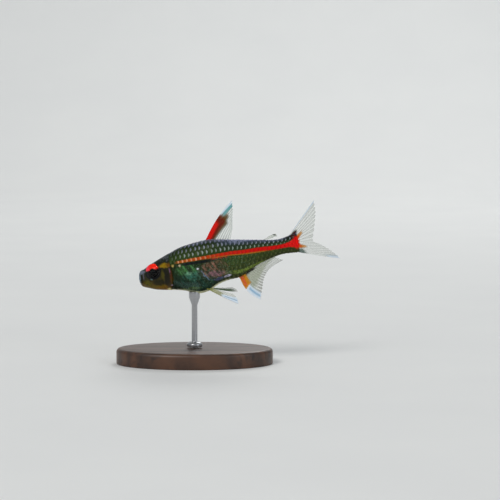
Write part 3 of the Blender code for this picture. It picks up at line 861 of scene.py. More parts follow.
skin_bm, ring_share, row_share = unit_grid(SKIN_COLUMNS, len(rings) - 1)
skin_angle = 2 * np.pi * ring_share
skin_tilt = flank_angle(skin_angle)
skin_s = ring_place(rings[np.round(row_share * (len(rings) - 1)).astype(int)], skin_tilt)
skin_across, skin_up = skin_point(skin_s, skin_angle)
carry(skin_bm, place(skin_s, skin_across, skin_up))
set_layer(skin_bm, "fish", np.stack([skin_s, skin_across, skin_up], axis=-1))
set_layer(skin_bm, "marks", marks(skin_s, skin_up))
cover_marks = (skin_s - coat_start(skin_tilt), skin_tilt, eye_share(skin_s, skin_up))
set_layer(skin_bm, "cover", np.stack(cover_marks, axis=-1))
bmesh.ops.remove_doubles(skin_bm, verts=skin_bm.verts[:], dist=1e-7)
rims = [edge for edge in skin_bm.edges if edge.is_boundary]
bmesh.ops.holes_fill(skin_bm, edges=rims, sides=SKIN_COLUMNS)
finish_piece("skin", skin_bm, skin_material(), FLESH)

# %% [markdown]
# ## The scales
# Each scale is a thin horny plate, rooted in the skin at its front and free at its round rear edge,
# and each lies over the front of the next, like tiles on a roof. On the model every scale is a real
# plate. Rows run parallel to the stripe, and neighbouring rows are set half a scale apart.
# A row's distance from the stripe is measured round the body, so the rows keep their width where the
# body curves under, and the outer rows run out at the back and the belly as the body narrows.
# One more row covers the middle line of the back, and one the keel, so no seam shows there.

# %% Distances round the body
TABLE_PLACES = np.linspace(6.0, 33.0, 271)
TABLE_ANGLES = np.radians(np.linspace(-210, 210, 841))

table_across, table_up = section(TABLE_PLACES[:, None], TABLE_ANGLES[None, :])
table_steps = np.hypot(np.diff(table_across, axis=1), np.diff(table_up, axis=1))
table_length = np.cumsum(np.pad(table_steps, ((0, 0), (1, 0))), axis=1)
upper_half = np.abs(TABLE_ANGLES) < np.pi / 2
for s, up_row, length_row in zip(TABLE_PLACES, table_up, table_length):
    length_row -= np.interp(stripe_middle(s), up_row[upper_half], length_row[upper_half])
keel_reach, back_reach = (
    np.array([np.interp(turn, TABLE_ANGLES, row) for row in table_length])
    for turn in (-np.pi / 2, np.pi / 2)
)


def angle_at(s, around):
    """The section's angle at a distance round the body from the stripe, on the right side."""
    row = int(np.clip(np.searchsorted(TABLE_PLACES, s), 0, len(TABLE_PLACES) - 1))
    return float(np.interp(around, table_length[row], TABLE_ANGLES))


def keel_at(s):
    return np.interp(s, TABLE_PLACES, keel_reach)


def back_at(s):
    return np.interp(s, TABLE_PLACES, back_reach)


print("round the body at its deepest, mm:", round(float(keel_at(15.0)), 1), round(float(back_at(15.0)), 1))

# %% One scale as a small closed plate
SCALE_STEP, SCALE_LENGTH = 0.81, 1.62
SCALE_THICK = 0.03
SCALE_ROOT = 0.03
# A scale's height against its row's, the roundness of its rear edge and its front, its curl, and how
# much lower it is at its root and rear edge than in its middle.
SCALE_TALL, SCALE_ROUND, SCALE_FRONT, SCALE_CURL, SCALE_WAIST = 1.06, 0.86, 0.25, 0.04, 0.28
ROW_STEP = smooth_curve(((8.0, 0.98), (14.0, 1.02), (19.0, 0.98), (24.0, 0.74), (29.0, 0.56), (33.0, 0.62)))


def scale_template():
    """A plate from a small grid. It gives a mesh, and p, q and side of every point."""
    bm = unit_grid(6, 3)[0]
    outer = two_sided(bm)
    spots = [(math.sin(math.pi * vert.co.x), vert.co.y + 0.5, vert in outer) for vert in bm.verts]
    mesh = bpy.data.meshes.new("scale template")
    bm.normal_update()
    bm.to_mesh(mesh)
    bm.free()
    return mesh, np.array(spots, float)


template, template_spots = scale_template()
print("faces in a scale:", len(template.polygons))

# %% Lay the scales in rows
# The bake map: the size of a scale's patch, and how the patches are spread over the map.
OUT_PATCH = 0.003
BAKE_LEFT, BAKE_WIDTH, BAKE_MIDDLE = 0.03, 0.92, 0.5
BAKE_LENGTH, BAKE_ROWS = 34, 20
FIRST_SCALE, LAST_SCALE = 7.0, 31.9
LOWEST_ROW, HIGHEST_ROW = -9, 7
BACK_RUNS = ((7.0, 15.1), (20.4, 26.0), (28.4, 31.4))
KEEL_RUNS = ((7.6, 19.6), (28.6, 31.4))
MIDDLE_ROOM = 0.38
JITTER = (0.03, 0.03, 0.005)


def in_runs(s, runs):
    return any(first < s < last for first, last in runs)


def side_scales():
    """Root place, and the line of its row, for every scale of one side."""
    found = []
    for row in range(LOWEST_ROW, HIGHEST_ROW + 1):
        def line(s, row=row):
            return row * ROW_STEP(s)
        for s in np.arange(FIRST_SCALE + (row % 2) * SCALE_STEP / 2, LAST_SCALE, SCALE_STEP):
            around = float(line(s))
            low = keel_at(s) + (MIDDLE_ROOM if in_runs(s, KEEL_RUNS) else -0.2)
            high = back_at(s) - (MIDDLE_ROOM if in_runs(s, BACK_RUNS) else -0.1)
            tilt = float(flank_angle(angle_at(s, around)))
            if low < around < high and s > coat_start(tilt) - 0.45:
                found.append((float(s), line))
    return found


def middle_scales():
    """The same for the rows along the back and the keel."""
    places = np.arange(FIRST_SCALE, LAST_SCALE, SCALE_STEP)
    rows = ((BACK_RUNS, back_at), (KEEL_RUNS, keel_at))
    return [(float(s), line) for runs, line in rows for s in places if in_runs(s, runs)]


def lay_scale(bm, layers, side, s_root, line, jitter):
    """Copies the template into the mesh and bends it onto the body."""
    *point_layers, bake_uv, own_uv = layers
    first, first_face = len(bm.verts), len(bm.faces)
    bm.from_mesh(template)
    bm.verts.ensure_lookup_table()
    bm.faces.ensure_lookup_table()
    p, q, outer = template_spots.T
    size = 1 + jitter[0]
    rear = SCALE_LENGTH * size * np.sqrt(np.maximum(1 - (SCALE_ROUND * p) ** 2, 0.0))
    front = SCALE_FRONT * np.abs(p) ** 2
    run = front + (rear - front) * q
    s = s_root - SCALE_LENGTH * 0.5 + run
    full = 1 - SCALE_WAIST + SCALE_WAIST * np.sin(np.pi * (0.25 + 0.5 * q))
    half_height = SCALE_TALL * size * float(ROW_STEP(s_root)) * full
    around = line(s) + half_height * p + jitter[1] * (run / SCALE_LENGTH)
    angle = np.array([angle_at(a, b) for a, b in zip(s, around)])
    tilt = flank_angle(angle)
    root = coat_depth(tilt) + SCALE_ROOT
    buried = 0.3 * ease((coat_start(tilt) - s) / 0.12)
    proud = (root + jitter[2]) * run / SCALE_LENGTH - root - SCALE_CURL * p ** 2
    across, up = surface(s, angle, proud - SCALE_THICK * (1 - outer) - buried)
    across = across * tail_thin(s) * side
    tone = np.tile((jitter[3], jitter[4], 0.0), (len(s), 1))
    point_values = (np.stack([s, across, up], axis=-1), marks(s, up), tone)
    points = place(s, across, up)
    numbers = {vert: k for k, vert in enumerate(bm.verts[first:])}
    for vert, k in numbers.items():
        vert.co = points[k]
        for layer, values in zip(point_layers, point_values):
            vert[layer] = values[k]
    corner = (BAKE_LEFT + BAKE_WIDTH * s_root / BAKE_LENGTH, BAKE_MIDDLE + float(line(s_root)) / BAKE_ROWS)
    for loop in (loop for face in bm.faces[first_face:] for loop in face.loops):
        k = numbers[loop.vert]
        loop[own_uv].uv = ((p[k] + 1) / 2, q[k])
        loop[bake_uv].uv = (corner[0] + OUT_PATCH * (q[k] - 0.5), corner[1] + OUT_PATCH * p[k] / 2)


def make_scales(name, side, scales, material):
    bm = bmesh.new()
    layers = [bm.verts.layers.float_vector.new(layer) for layer in ("fish", "marks", "tone")]
    layers += [bm.loops.layers.uv.new(layer) for layer in ("OFBake", "scale")]
    for s, line in scales:
        jitter = rng.normal(0.0, 1.0, 3) * JITTER
        lay_scale(bm, layers, side, s, line, (*jitter, rng.random(), rng.random()))
    print(name, "scales:", len(scales))
    finish_piece(name, bm, material)


# %% [markdown]
# ## The finish of a scale
# The dark skin shows through a scale's clear front, and its rear edge carries a pale spot of silvery
# crystals, taller than it is long. Row after row of these spots is what the eye reads as scales.
# The spots are lilac white on the back, cream and pink on the stripe's front part, and faint below.
# Each scale has fine growth rings, given as bump, and a tone a little different from its neighbours'.

# %% Scale material and the two coats
SPOT_WHITE, SPOT_LILAC, SPOT_GREEN = (180, 190, 188), (150, 152, 188), (160, 190, 160)
SPOT_OLIVE, SPOT_CREAM = (120, 124, 78), (244, 176, 134)


def scale_material():
    material, tree = new_material("scales")
    colour, stripe = body_paint(tree)
    offset, share, along = split(attribute(tree, "marks"))
    tone = split(attribute(tree, "tone"))
    own = node("UVMap", {}, "UV", tree, uv_map="scale")
    across, run = split(own)[:2]
    aft = fade(along, 17.5, 21.0)
    off_middle = across - 0.5
    off_rear = run - 0.84 - off_middle * (aft * 0.30)
    spot = fade(square(off_middle * 4.7) + square(off_rear * (aft * 2.5 + 9.5)), 1.3, 0.1)

    above = fade(offset, 0.9, 1.6)
    nape = fade(along, 8.5, 12.5) * 0.75 + 0.25
    high = fade(share, 0.78, 0.96)
    over_stripe = above * nape * (0.66 - high * 0.06)
    under_stripe = fade(offset, -1.3, -2.2) * fade(along, 16.0, 19.0) * 0.32
    dotted = stripe * fade(along, 18.0, 12.5)
    strength = calc("MAXIMUM", calc("MAXIMUM", over_stripe, under_stripe), dotted * 0.8)
    spot = spot * strength * (tone[0] * 0.55 + 0.6)
    tint = mix(high, SPOT_WHITE, SPOT_LILAC)
    tint = mix(aft * fade(share, 0.85, 0.7), tint, SPOT_GREEN)
    tint = mix(above, SPOT_OLIVE, tint)
    tint = mix(dotted, tint, SPOT_CREAM)

    darker = mix(tone[1] * 0.35, colour, DEEP_OLIVE)
    colour = mix(spot, mix(stripe, darker, colour), tint)
    growth = node("TexWave", {"Vector": own, "Scale": 5.0, "Distortion": 1.5}, "Fac", bands_direction="Y")
    return dress(material, Base_Color=colour, Normal=bump(growth, 0.02 * MM, 0.5), Roughness=0.36,
                 Coat_Weight=0.10, Coat_Roughness=0.22, Specular_IOR_Level=0.10)


scales_finish = scale_material()
make_scales("scales_left", -1, side_scales(), scales_finish)
make_scales("scales_right", 1, side_scales(), scales_finish)
make_scales("scales_middle", 1, middle_scales(), scales_finish)
bpy.data.meshes.remove(template)

# %% [markdown]
# ## The eyes
# A fish's eye has no lids. The ball sits in a ring of soft skin, and its round lens bulges out through
# the pupil. The upper half of the iris glows red on this fish, and the lower half is nearly black.
# The ball is an opaque turned form, painted by the angle round its axis, and a clear cornea
# closes it. The cornea casts no shadow, so light reaches the iris as it does through a real one.

# %% Build an eye
PUPIL_SHARE = 0.38
EYE_SEGMENTS, EYE_RINGS = 64, 40
EYEBALL_LIFT = 0.86
LENS_RISE, IRIS_TROUGH = 0.10, 0.16


def eye_dome(side, lift, dent):
    """A dome over the eye's outline. Lift and dent shape its height by the share of its radius."""
    bm, turn, ring = unit_grid(EYE_SEGMENTS, EYE_RINGS)
    origin = place(EYE_PLACE, 0.0, 0.0)
    steps = ((1.0, 0.0, 0.0), (0.0, 1.0, 0.0), (0.0, 0.0, 1.0))
    axes = [place(EYE_PLACE + s, across, up) - origin for s, across, up in steps]
    aft, right, up = (axis / np.linalg.norm(axis) for axis in axes)
    angle, out = turn * 2 * np.pi, np.sin(ring * np.pi)
    front = ring < 0.5
    height = np.where(front, 1.0, -1.0) * np.sqrt(np.maximum(1 - out ** 2, 0.0))
    depth = EYE_BULGE * height * lift + np.where(front, dent(out), 0.0)
    round_share = (np.cos(angle) * out, np.sin(angle) * out)
    points = (
        np.outer(round_share[0] * EYE_RADII[0], aft)
        + np.outer(round_share[1] * EYE_RADII[1], up)
        + np.outer(depth * side, right)
    )
    carry(bm, place(EYE_PLACE, side * EYE_ACROSS, EYE_HEIGHT) + points * MM)
    set_layer(bm, "eye", np.stack([*round_share, front * 1.0], axis=-1))
    bmesh.ops.remove_doubles(bm, verts=bm.verts[:], dist=1e-8)
    return bm


def iris_dent(out):
    """The lens swells in the middle, and the iris lies in a shallow trough round it."""
    lens = LENS_RISE * np.sqrt(np.maximum(1 - (out / PUPIL_SHARE) ** 2, 0.0))
    return lens - IRIS_TROUGH * ridge(out - 0.62, 0.22)


# %% Eye materials
def eye_material():
    material, tree = new_material("eyeball")
    across, up, front = split(attribute(tree, "eye"))
    out = calc("SQRT", square(across) + square(up))
    spokes = noise(join(calc("DIVIDE", across, out), calc("DIVIDE", up, out), out * 0.5), 7.0, 2.0)
    red = mix(spokes, (216, 6, 4), (255, 52, 22))
    # Paler pink towards the front of the red is a painted reflection.
    red = mix(fade(across, -0.15, -0.75) * 0.7, red, (240, 70, 96))
    lit = fade(up - across * 0.14 + (spokes - 0.5) * 0.3, 0.12, 0.30)
    iris = mix(lit, mix(spokes, (2, 2, 3), (8, 7, 6)), red)
    # The ball's back half is dark in life; the dark rim on its front is painted shade from the socket.
    iris = mix(calc("MAXIMUM", fade(out, 0.93, 1.0), 1.0 - front), iris, (16, 10, 8))
    ring = window(out, PUPIL_SHARE + 0.02, PUPIL_SHARE + 0.06, 0.02)
    iris = mix(ring * 0.5 * lit, iris, (190, 60, 20))
    colour = mix(fade(out, PUPIL_SHARE + 0.03, PUPIL_SHARE - 0.02), iris, (2, 3, 4))
    return dress(material, Base_Color=colour, Roughness=0.30, Specular_IOR_Level=0.08)


eyeball_finish = eye_material()
cornea_finish = dress(new_material("cornea")[0], Base_Color=(0.97, 0.98, 0.99, 1.0), Roughness=0.0,
                      IOR=1.20, Transmission_Weight=1.0)
for side, word in ((-1, "left"), (1, "right")):
    ball = eye_dome(side, EYEBALL_LIFT, iris_dent)
    finish_piece(f"eyeball_{word}", ball, eyeball_finish, [f"eye_{word}"])
    cornea = finish_piece(f"cornea_{word}", eye_dome(side, 1.0, np.zeros_like), cornea_finish)
    cornea.visible_shadow = False

# %% [markdown]
# ## The fins
# A fin is a clear, paper-thin membrane stretched over bony rays. Each ray leaves the body as one rod,
# forks about half way out and again near the edge, and ends in a soft tip, so the fin's rim is
# slightly notched between tips. The first ray of each fin is stout and unforked.
# Both faces of the membrane are modelled as one closed sheet, and the rays are raised in it.

# %% Fin sheets
GAP = 0.3
MEMBRANE = 0.05
RAY_RISE = 0.055
ROOT_SINK = 0.75
COLUMNS_PER_RAY = 12


def ray_strength(u, v, rays):
    """1 along each ray's middle line and 0 between rays, with two forks on the way out."""
    at = u * (rays - 1)
    off = at - np.round(at)
    forked = np.where(np.round(at) == 0, 0.0, 1.0)
    first = 0.17 * forked * ease((v - 0.38) / 0.45)
    second = 0.075 * forked * ease((v - 0.68) / 0.30)
    off = np.abs(np.abs(np.abs(off) - first) - second)
    return ridge(off, 0.16 - 0.10 * ease(v / 0.9) * forked)


def fin_piece(name, root, edge, rays, rows, bow, material, replaced, wave=0.06, sink=ROOT_SINK, notch=0.03):
    """A fin whose rays run from the root line to the edge line, both in the fish's coordinates."""
    bm = unit_grid(COLUMNS_PER_RAY * (rays - 1), rows)[0]
    outer = two_sided(bm)
    u, v = (np.array([vert.co[k] + 0.5 for vert in bm.verts]) for k in (0, 1))
    side = np.array([1.0 if vert in outer else -1.0 for vert in bm.verts])
    stations = np.linspace(0, 1, 9)
    longest = np.max(np.linalg.norm(edge(stations) - root(stations), axis=-1))

    def middle(u, v):
        """The sheet's middle, from the root inside the body at v = 0 to the rim at v = 1."""
        start, end = root(u), edge(u)
        length = np.linalg.norm(end - start, axis=-1, keepdims=True)
        inset = sink / length
        between = 1 - notch * np.abs(np.sin(np.pi * u[:, None] * (rays - 1)))
        reach = -inset + (between + inset) * v[:, None]
        bulge = 4 * np.clip(reach, 0, 1) * (1 - reach) * (length / longest) ** 2
        flutter = wave * np.sin(2.2 * np.pi * u + 1.3)[:, None] * np.clip(reach, 0, 1) ** 2
        points = start * (1 - reach) + end * reach + np.array(bow) * bulge
        points = points + np.array((0.0, 1.0, 0.0)) * flutter
        return points, place(*points.T), reach[:, 0]

    fish, points, reach = middle(u, v)
    step = 0.002
    along_u = middle(np.minimum(u + step, 1), v)[1] - middle(np.maximum(u - step, 0), v)[1]
    along_v = middle(u, np.minimum(v + step, 1))[1] - middle(u, np.maximum(v - step, 0))[1]
    normal = np.cross(along_u, along_v)
    normal /= np.linalg.norm(normal, axis=-1, keepdims=True)
    ray = ray_strength(u, v, rays)
    half = (MEMBRANE / 2 + RAY_RISE * ray * (1 - 0.6 * v)) * (1 - 0.4 * ease((v - 0.8) / 0.2))
    carry(bm, points + normal * (side * half * MM)[:, None])
    set_layer(bm, "fish", fish)
    set_layer(bm, "fin", np.stack([u, reach, ray], axis=-1))
    finish_piece(name, bm, material, replaced)


# %% [markdown]
# ## The finish of a fin
# The membrane lets most light through, the rays less. Colour sits in the skin over the rays: a red flame
# up the front of the dorsal fin, orange at the front of the anal fin, streaks of orange from the tail's
# root, and opaque white tips. Each fin has a list of such zones. A zone runs from one share of the way
# out to another, between two sides that may close in or open as it goes, and its ends are ragged,
# because they differ from ray to ray. One function turns a list into a material.

# %% Fin materials
CLEAR = (186, 194, 180)
RED = (220, 14, 0)
RUST = (110, 26, 2)
OCHRE = (96, 70, 8)
ORANGE = (226, 92, 0)
AMBER = (218, 142, 4)
ICE = (222, 235, 246)
CYAN = (76, 168, 176)
BLUE = (142, 192, 226)
SMOKE = (18, 20, 20)
MAROON = (70, 14, 8)
MOSS = (112, 128, 52)


def fin_material(name, zones, ray_tint, open_share=0.14, ray_share=0.5, membrane=CLEAR):
    """Zones are (colour, sides at the start, sides at the end, reach, softness, solidity, ray weight)."""
    material, tree = new_material(name)
    across, out, ray = split(attribute(tree, "fin"))
    joints = node("TexWave", {"Vector": join(0.0, out), "Scale": 16.0}, "Fac", bands_direction="Y")
    uneven = noise(join(across * 45.0, out), 1.0, 2.0) - 0.5
    speckle = fade(noise(attribute(tree, "fish"), 5.0, 4.0), 0.12, 0.38)
    ray_soft = fade(ray, 0.25, 0.85)
    colour = mix(ray_soft, membrane, ray_tint)
    solid = ray_soft * (ray_share - open_share) + open_share
    for tint, start, end, (near, far), soft, solidity, ray_weight in zones:
        reach = {"Value": out, "From Min": near, "From Max": far}
        low, high = (node("MapRange", {**reach, "To Min": a, "To Max": b}) for a, b in zip(start, end))
        inside = calc("MINIMUM", across - low, high - across)
        ragged = out + uneven * min(8 * soft, 0.30)
        mask = fade(inside, -soft, soft) * window(ragged, near, far, soft) * speckle
        mask = mask * (ray_soft * ray_weight + (1 - ray_weight))
        colour = mix(mask, colour, tint)
        solid = solid * (1.0 - mask) + mask * solidity
    return dress(material, Base_Color=colour, Alpha=solid, Normal=bump(joints, 0.02 * MM, 0.5),
                 Roughness=0.36, IOR=1.4, Specular_IOR_Level=0.2)


# %% Fins along the midline
TAIL_ROOT, TAIL_ROOT_FORWARD = 32.3, 0.85


def root_line(outline, first, last, gap):
    """A fin's root along the back or the belly, from one place to another."""
    def root(u):
        s = first + (last - first) * u
        return np.stack([s, np.zeros_like(s), outline(s) + gap], axis=-1)
    return root


def tail_root(u):
    s = TAIL_ROOT - TAIL_ROOT_FORWARD * ease((0.22 - u) / 0.22)
    return np.stack([s, np.zeros_like(u), 3.25 - 3.75 * u], axis=-1)


dorsal_edge = smooth_curve((
    (0.0, (21.50, -0.35, 11.65)), (0.3, (21.30, -0.30, 9.95)),
    (0.6, (20.95, -0.20, 8.35)), (1.0, (20.55, -0.10, 6.20)),
))
anal_edge = smooth_curve((
    (0.0, (23.55, 0.30, -8.15)), (0.12, (24.10, 0.28, -6.45)), (0.3, (24.75, 0.22, -4.45)),
    (0.5, (25.90, 0.15, -2.85)), (0.75, (27.40, 0.08, -2.00)), (1.0, (29.10, 0.0, -1.45)),
))
adipose_edge = smooth_curve(((0.0, (28.50, 0.0, 3.80)), (1.0, (28.75, 0.0, 3.25))))
tail_edge = smooth_curve((
    (0.0, (37.95, 0.0, 8.55)), (0.12, (37.95, 0.0, 7.0)), (0.24, (37.60, 0.0, 5.35)),
    (0.37, (36.95, 0.0, 3.40)), (0.5, (36.10, 0.0, 1.08)), (0.63, (37.55, 0.0, 0.02)),
    (0.76, (39.05, 0.0, -1.05)), (0.88, (40.50, 0.0, -2.30)), (1.0, (41.65, 0.0, -3.62)),
))

dorsal_finish = fin_material("dorsal membrane", (
    (OCHRE, (-0.3, 0.30), (-0.3, 0.57), (-0.4, 0.66), 0.08, 0.93, 0.1),
    (OCHRE, (0.10, 0.27), (0.22, 0.42), (0.0, 0.78), 0.06, 0.92, 0.1),
    (RUST, (-0.3, 0.26), (-0.3, 0.42), (-0.4, 0.60), 0.08, 0.96, 0.0),
    (RED, (-0.3, 0.24), (-0.3, 0.20), (-0.4, 0.42), 0.06, 0.98, 0.0),
    (CYAN, (-0.3, 0.20), (-0.3, 0.22), (0.67, 1.2), 0.04, 0.88, 0.2),
    (ICE, (-0.3, 0.06), (-0.3, 0.12), (0.60, 1.2), 0.03, 0.95, 0.0),
), ray_tint=(118, 146, 132), ray_share=0.45)
anal_finish = fin_material("anal membrane", (
    (MOSS, (-0.3, 1.1), (-0.3, 0.45), (-0.4, 0.7), 0.12, 0.46, 0.2),
    ((24, 28, 14), (-0.3, 0.42), (-0.3, 0.42), (-0.4, 0.0), 0.05, 0.85, 0.0),
    (AMBER, (-0.3, 0.185), (-0.3, 0.135), (-0.2, 0.42), 0.03, 0.96, 0.1),
    (ORANGE, (0.03, 0.13), (0.02, 0.07), (-0.4, 0.32), 0.025, 0.8, 0.0),
    (ICE, (-0.3, 0.105), (-0.3, 0.080), (0.39, 1.2), 0.018, 0.98, 0.0),
    (BLUE, (0.042, 0.070), (0.030, 0.052), (0.46, 0.95), 0.018, 0.60, 0.0),
), ray_tint=(72, 78, 42), ray_share=0.62)
tail_finish = fin_material("tail membrane", (
    (SMOKE, (0.06, 0.17), (0.07, 0.14), (-0.4, 0.17), 0.03, 0.92, 0.0),
    (MAROON, (0.05, 0.22), (0.05, 0.18), (-0.4, 0.11), 0.03, 0.95, 0.0),
    (AMBER, (0.20, 0.46), (0.24, 0.32), (-0.1, 0.34), 0.04, 0.98, 0.2),
    (AMBER, (0.52, 0.82), (0.66, 0.73), (-0.1, 0.37), 0.04, 0.98, 0.2),
    (ORANGE, (0.18, 0.44), (0.28, 0.36), (-0.2, 0.20), 0.04, 0.95, 0.0),
    (ORANGE, (0.56, 0.80), (0.64, 0.74), (-0.2, 0.20), 0.04, 0.95, 0.0),
    (ORANGE, (0.18, 0.84), (0.36, 0.68), (-0.4, 0.19), 0.06, 0.85, 0.0),
    (RED, (0.18, 0.84), (0.40, 0.64), (-0.4, 0.16), 0.05, 1.0, 0.0),
    ((84, 106, 96), (0.84, 1.3), (0.80, 1.3), (-0.4, 0.20), 0.06, 0.75, 0.0),
    (ICE, (-0.3, 0.020), (-0.3, 0.030), (0.05, 1.2), 0.012, 0.90, 0.0),
    (ICE, (0.95, 1.3), (0.92, 1.3), (0.66, 1.2), 0.04, 0.90, 0.0),
), ray_tint=(146, 156, 140), ray_share=0.36)
adipose_finish = fin_material("adipose flesh", (
    (SMOKE, (0.0, 0.5), (0.1, 0.6), (0.70, 0.92), 0.06, 0.85, 0.0),
), ray_tint=(170, 186, 150), open_share=0.30, ray_share=0.36)

fin_piece("dorsal", root_line(back, 15.4, 19.9, GAP), dorsal_edge, 11, 56, (-0.34, 0.0, 0.22),
          dorsal_finish, ["dorsal_fin"])
fin_piece("anal", root_line(belly, 20.35, 27.95, -GAP), anal_edge, 22, 44, (-0.55, 0.0, -0.38),
          anal_finish, ["anal_fin"])
fin_piece("adipose", root_line(back, 26.6, 27.7, GAP), adipose_edge, 3, 20, (-0.1, 0.0, 0.15),
          adipose_finish, ["adipose_fin"], wave=0.0, notch=0.0)
fin_piece("tail", tail_root, tail_edge, 19, 60, (-0.05, 0.0, -0.05),
          tail_finish, ["caudal_fin_upper", "caudal_fin_lower"], sink=1.0)

# %% [markdown]
# ## The paired fins
# The pectorals are clear paddles folded back low on the flank, just behind the gill cover.
# The pelvics spread below the belly, and the near one has a white tip like the anal fin's. The far one
# has a darker green finish without the white tip, which is painted shade.

# %% Pectoral and pelvic fins
# A pectoral's upper and lower edge, in degrees round the body, at its root and at its rim.
PECTORAL_UPPER, PECTORAL_LOWER = (-23.0, -30.0), (-36.0, -51.0)
PECTORAL_ROOT, PECTORAL_LENGTH = 9.1, 4.5
PELVIC_ROOT, PELVIC_WIDTH = 14.45, 0.9


def pectoral_line(side, v):
    """The pectoral's root line at v = 0 and its rim at v = 1."""
    def line(u):
        s = PECTORAL_ROOT + 0.25 * u + (PECTORAL_LENGTH - 1.1 * u) * v
        upper, lower = (start + (end - start) * v for start, end in (PECTORAL_UPPER, PECTORAL_LOWER))
        across, up = surface(s, np.radians(upper + (lower - upper) * u), 0.67 + 0.85 * v)
        return np.stack([s, side * across, up], axis=-1)
    return line


def pelvic_root(side):
    def root(u):
        s = PELVIC_ROOT + PELVIC_WIDTH * u
        across, up = surface(s, np.radians(-62 - 14 * u), 0.56)
        return np.stack([s, side * np.maximum(0.95 - 0.5 * u, across), up], axis=-1)
    return root


def pelvic_edge(side, outer, inner):
    def edge(u):
        u = u[..., None]
        rounding = 0.25 * np.sin(np.pi * u) * np.array((1.0, 0.0, 0.0))
        line = np.array(outer) * (1 - u) + np.array(inner) * u + rounding
        return line * np.array((1.0, side, 1.0))
    return edge


pectoral_finish = fin_material("pectoral membrane", (
    ((66, 104, 104), (-0.3, 0.7), (-0.3, 0.5), (-0.4, 0.7), 0.12, 0.22, 0.8),
), ray_tint=(96, 122, 116), open_share=0.03, ray_share=0.20, membrane=(110, 126, 116))
pelvic_finish = fin_material("pelvic membrane", (
    ((150, 152, 58), (-0.3, 1.3), (-0.3, 0.7), (-0.5, 0.42), 0.10, 0.60, 0.2),
    (ICE, (-0.3, 0.40), (-0.3, 0.76), (0.38, 1.3), 0.05, 0.97, 0.0),
    (BLUE, (0.16, 0.24), (0.22, 0.34), (0.46, 0.95), 0.05, 0.4, 0.0),
), ray_tint=(140, 150, 112), ray_share=0.40)
# The far pelvic's darker green copy of the pelvic finish, without the white tip, is painted shade.
shaded_pelvic_finish = fin_material("pelvic membrane in painted shade", (
    ((62, 108, 40), (-0.3, 0.9), (-0.3, 0.6), (-0.5, 0.85), 0.12, 0.80, 0.2),
), ray_tint=(110, 128, 92), ray_share=0.40)
for side, word in ((-1, "left"), (1, "right")):
    fin_piece(f"pectoral_{word}", pectoral_line(side, 0.0), pectoral_line(side, 1.0), 10, 40,
              (0.0, side * 0.1, 0.0), pectoral_finish, [f"pectoral_fin_{word}"],
              wave=0.03, sink=0.5, notch=0.015)
PELVICS = (
    (-1, "left", (19.30, 2.4, -8.0), (18.55, 1.2, -6.0), pelvic_finish),
    (1, "right", (19.40, 2.0, -6.1), (18.5, 0.9, -4.9), shaded_pelvic_finish),
)
for side, word, outer, inner, finish in PELVICS:
    fin_piece(f"pelvic_{word}", pelvic_root(side), pelvic_edge(side, outer, inner), 8, 44,
              (0.0, side * 0.15, -0.1), finish, [f"pelvic_fin_{word}"], wave=0.04, sink=0.6)

# %% [markdown]
# ## The stand
# A fish can't stand, so the model has a plain stand: an oval base of dark oiled wood, and a thin steel
# rod whose cup holds the belly. The base is a disc drawn out to an oval with its rim rounded over.
# The rod, its collar and its cup are one turned profile, as on a lathe.

# %% Wood and steel
def wood_material():
    material, tree = new_material("dark oiled wood")
    spot = object_place(tree)
    grain = noise(node("Mapping", {"Vector": spot, "Scale": (60.0, 900.0, 300.0)}), 1.0, 6.0, 1.2)
    waves = {"Vector": spot, "Scale": 120.0, "Distortion": 6.0, "Detail": 3.0, "Detail Scale": 1.2}
    colour = mix(node("TexWave", waves, "Fac", bands_direction="Y"), (58, 36, 24), (86, 54, 34))
    colour = mix(fade(grain, 0.5, 0.72), colour, (34, 21, 14))
    return dress(material, Base_Color=colour, Roughness=grain * 0.2 + 0.36, Coat_Weight=0.15,
                 Coat_Roughness=0.35, Normal=bump(grain, 0.05 * MM, 0.6))


def steel_material():
    material, tree = new_material("brushed steel")
    stretch = node("Mapping", {"Vector": object_place(tree), "Scale": (300.0, 300.0, 9000.0)})
    brushed = noise(stretch, 1.0)
    return dress(material, Base_Color=mix(brushed, (150, 151, 154), (196, 196, 198)), Metallic=1.0,
                 Roughness=brushed * 0.18 + 0.24, Normal=bump(brushed, 0.01 * MM, 0.5))


# %% Base
RIM_ROUND, FOOT_ROUND = 0.0007, 0.0002

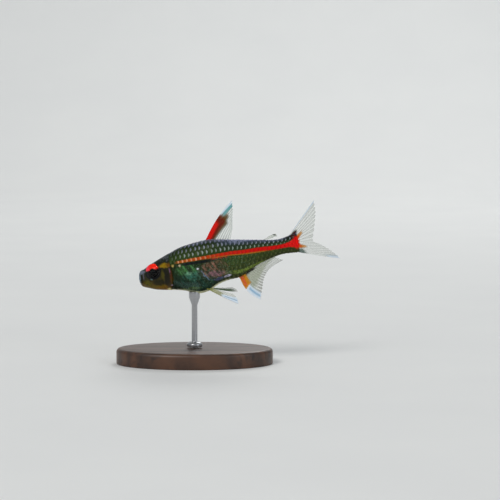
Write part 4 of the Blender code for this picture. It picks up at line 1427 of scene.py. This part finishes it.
base_low, base_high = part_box("stand_base")
base_size = base_high - base_low
base_bm = bmesh.new()
bmesh.ops.create_cone(base_bm, cap_ends=True, segments=160, radius1=0.5, radius2=0.5, depth=1.0)
for vert in base_bm.verts:
    vert.co = base_low + Vector(base_size[k] * (vert.co[k] + 0.5) for k in range(3))
for level, offset, segments in ((base_high.z, RIM_ROUND, 6), (base_low.z, FOOT_ROUND, 2)):
    rim = [e for e in base_bm.edges if all(abs(v.co.z - level) < 1e-5 for v in e.verts)]
    bmesh.ops.bevel(base_bm, geom=rim, offset=offset, offset_type="OFFSET", segments=segments,
                    profile=0.5, affect="EDGES", material=-1)
base = finish_piece("base", base_bm, wood_material(), ["stand_base"])
base.data.set_sharp_from_angle(angle=math.radians(50))

# %% Rod
ROD_RADIUS, COLLAR_RADIUS, COLLAR_HEIGHT = 0.55, 1.5, 0.9
CUP_RADIUS, CUP_HEIGHT = 1.05, 2.2
CUP_LIP, CUP_LIP_INSIDE, CUP_SUNK = 0.42, 0.30, 0.08
EDGE_SOFTNESS = 0.12

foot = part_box("stand_rod")[0].z / MM
belly_height = float(place(ROD_PLACE, 0.0, belly(ROD_PLACE))[2]) / MM
profile = (
    (0.0, foot), (COLLAR_RADIUS, foot), (COLLAR_RADIUS, foot + COLLAR_HEIGHT * 0.6),
    (COLLAR_RADIUS * 0.7, foot + COLLAR_HEIGHT), (ROD_RADIUS, foot + COLLAR_HEIGHT),
    (ROD_RADIUS, belly_height - CUP_HEIGHT), (CUP_RADIUS, belly_height - CUP_HEIGHT * 0.35),
    (CUP_RADIUS, belly_height + CUP_LIP), (CUP_RADIUS * 0.84, belly_height + CUP_LIP_INSIDE),
    (CUP_RADIUS * 0.5, belly_height), (0.0, belly_height - CUP_SUNK),
)
rod_bm = bmesh.new()
line = [rod_bm.verts.new((radius * MM, 0.0, height * MM)) for radius, height in profile]
edges = [rod_bm.edges.new(pair) for pair in zip(line[:-1], line[1:])]
bmesh.ops.spin(rod_bm, geom=line + edges, axis=(0, 0, 1), cent=(0, 0, 0), angle=2 * math.pi,
               steps=48, use_merge=True, use_duplicate=False)
bmesh.ops.remove_doubles(rod_bm, verts=rod_bm.verts[:], dist=1e-7)
rod = finish_piece("rod", rod_bm, steel_material(), ["stand_rod"])
bevel = rod.modifiers.new("soft edges", "BEVEL")
bevel.width = EDGE_SOFTNESS * MM
bevel.segments = 3
bevel.limit_method = "ANGLE"

# %% Sizes
visual_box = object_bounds()
for name, (low, high) in (("solid", cad_box), ("visual", visual_box)):
    print(name, "box, mm:", [round((b - a) / MM, 2) for a, b in zip(low, high)])
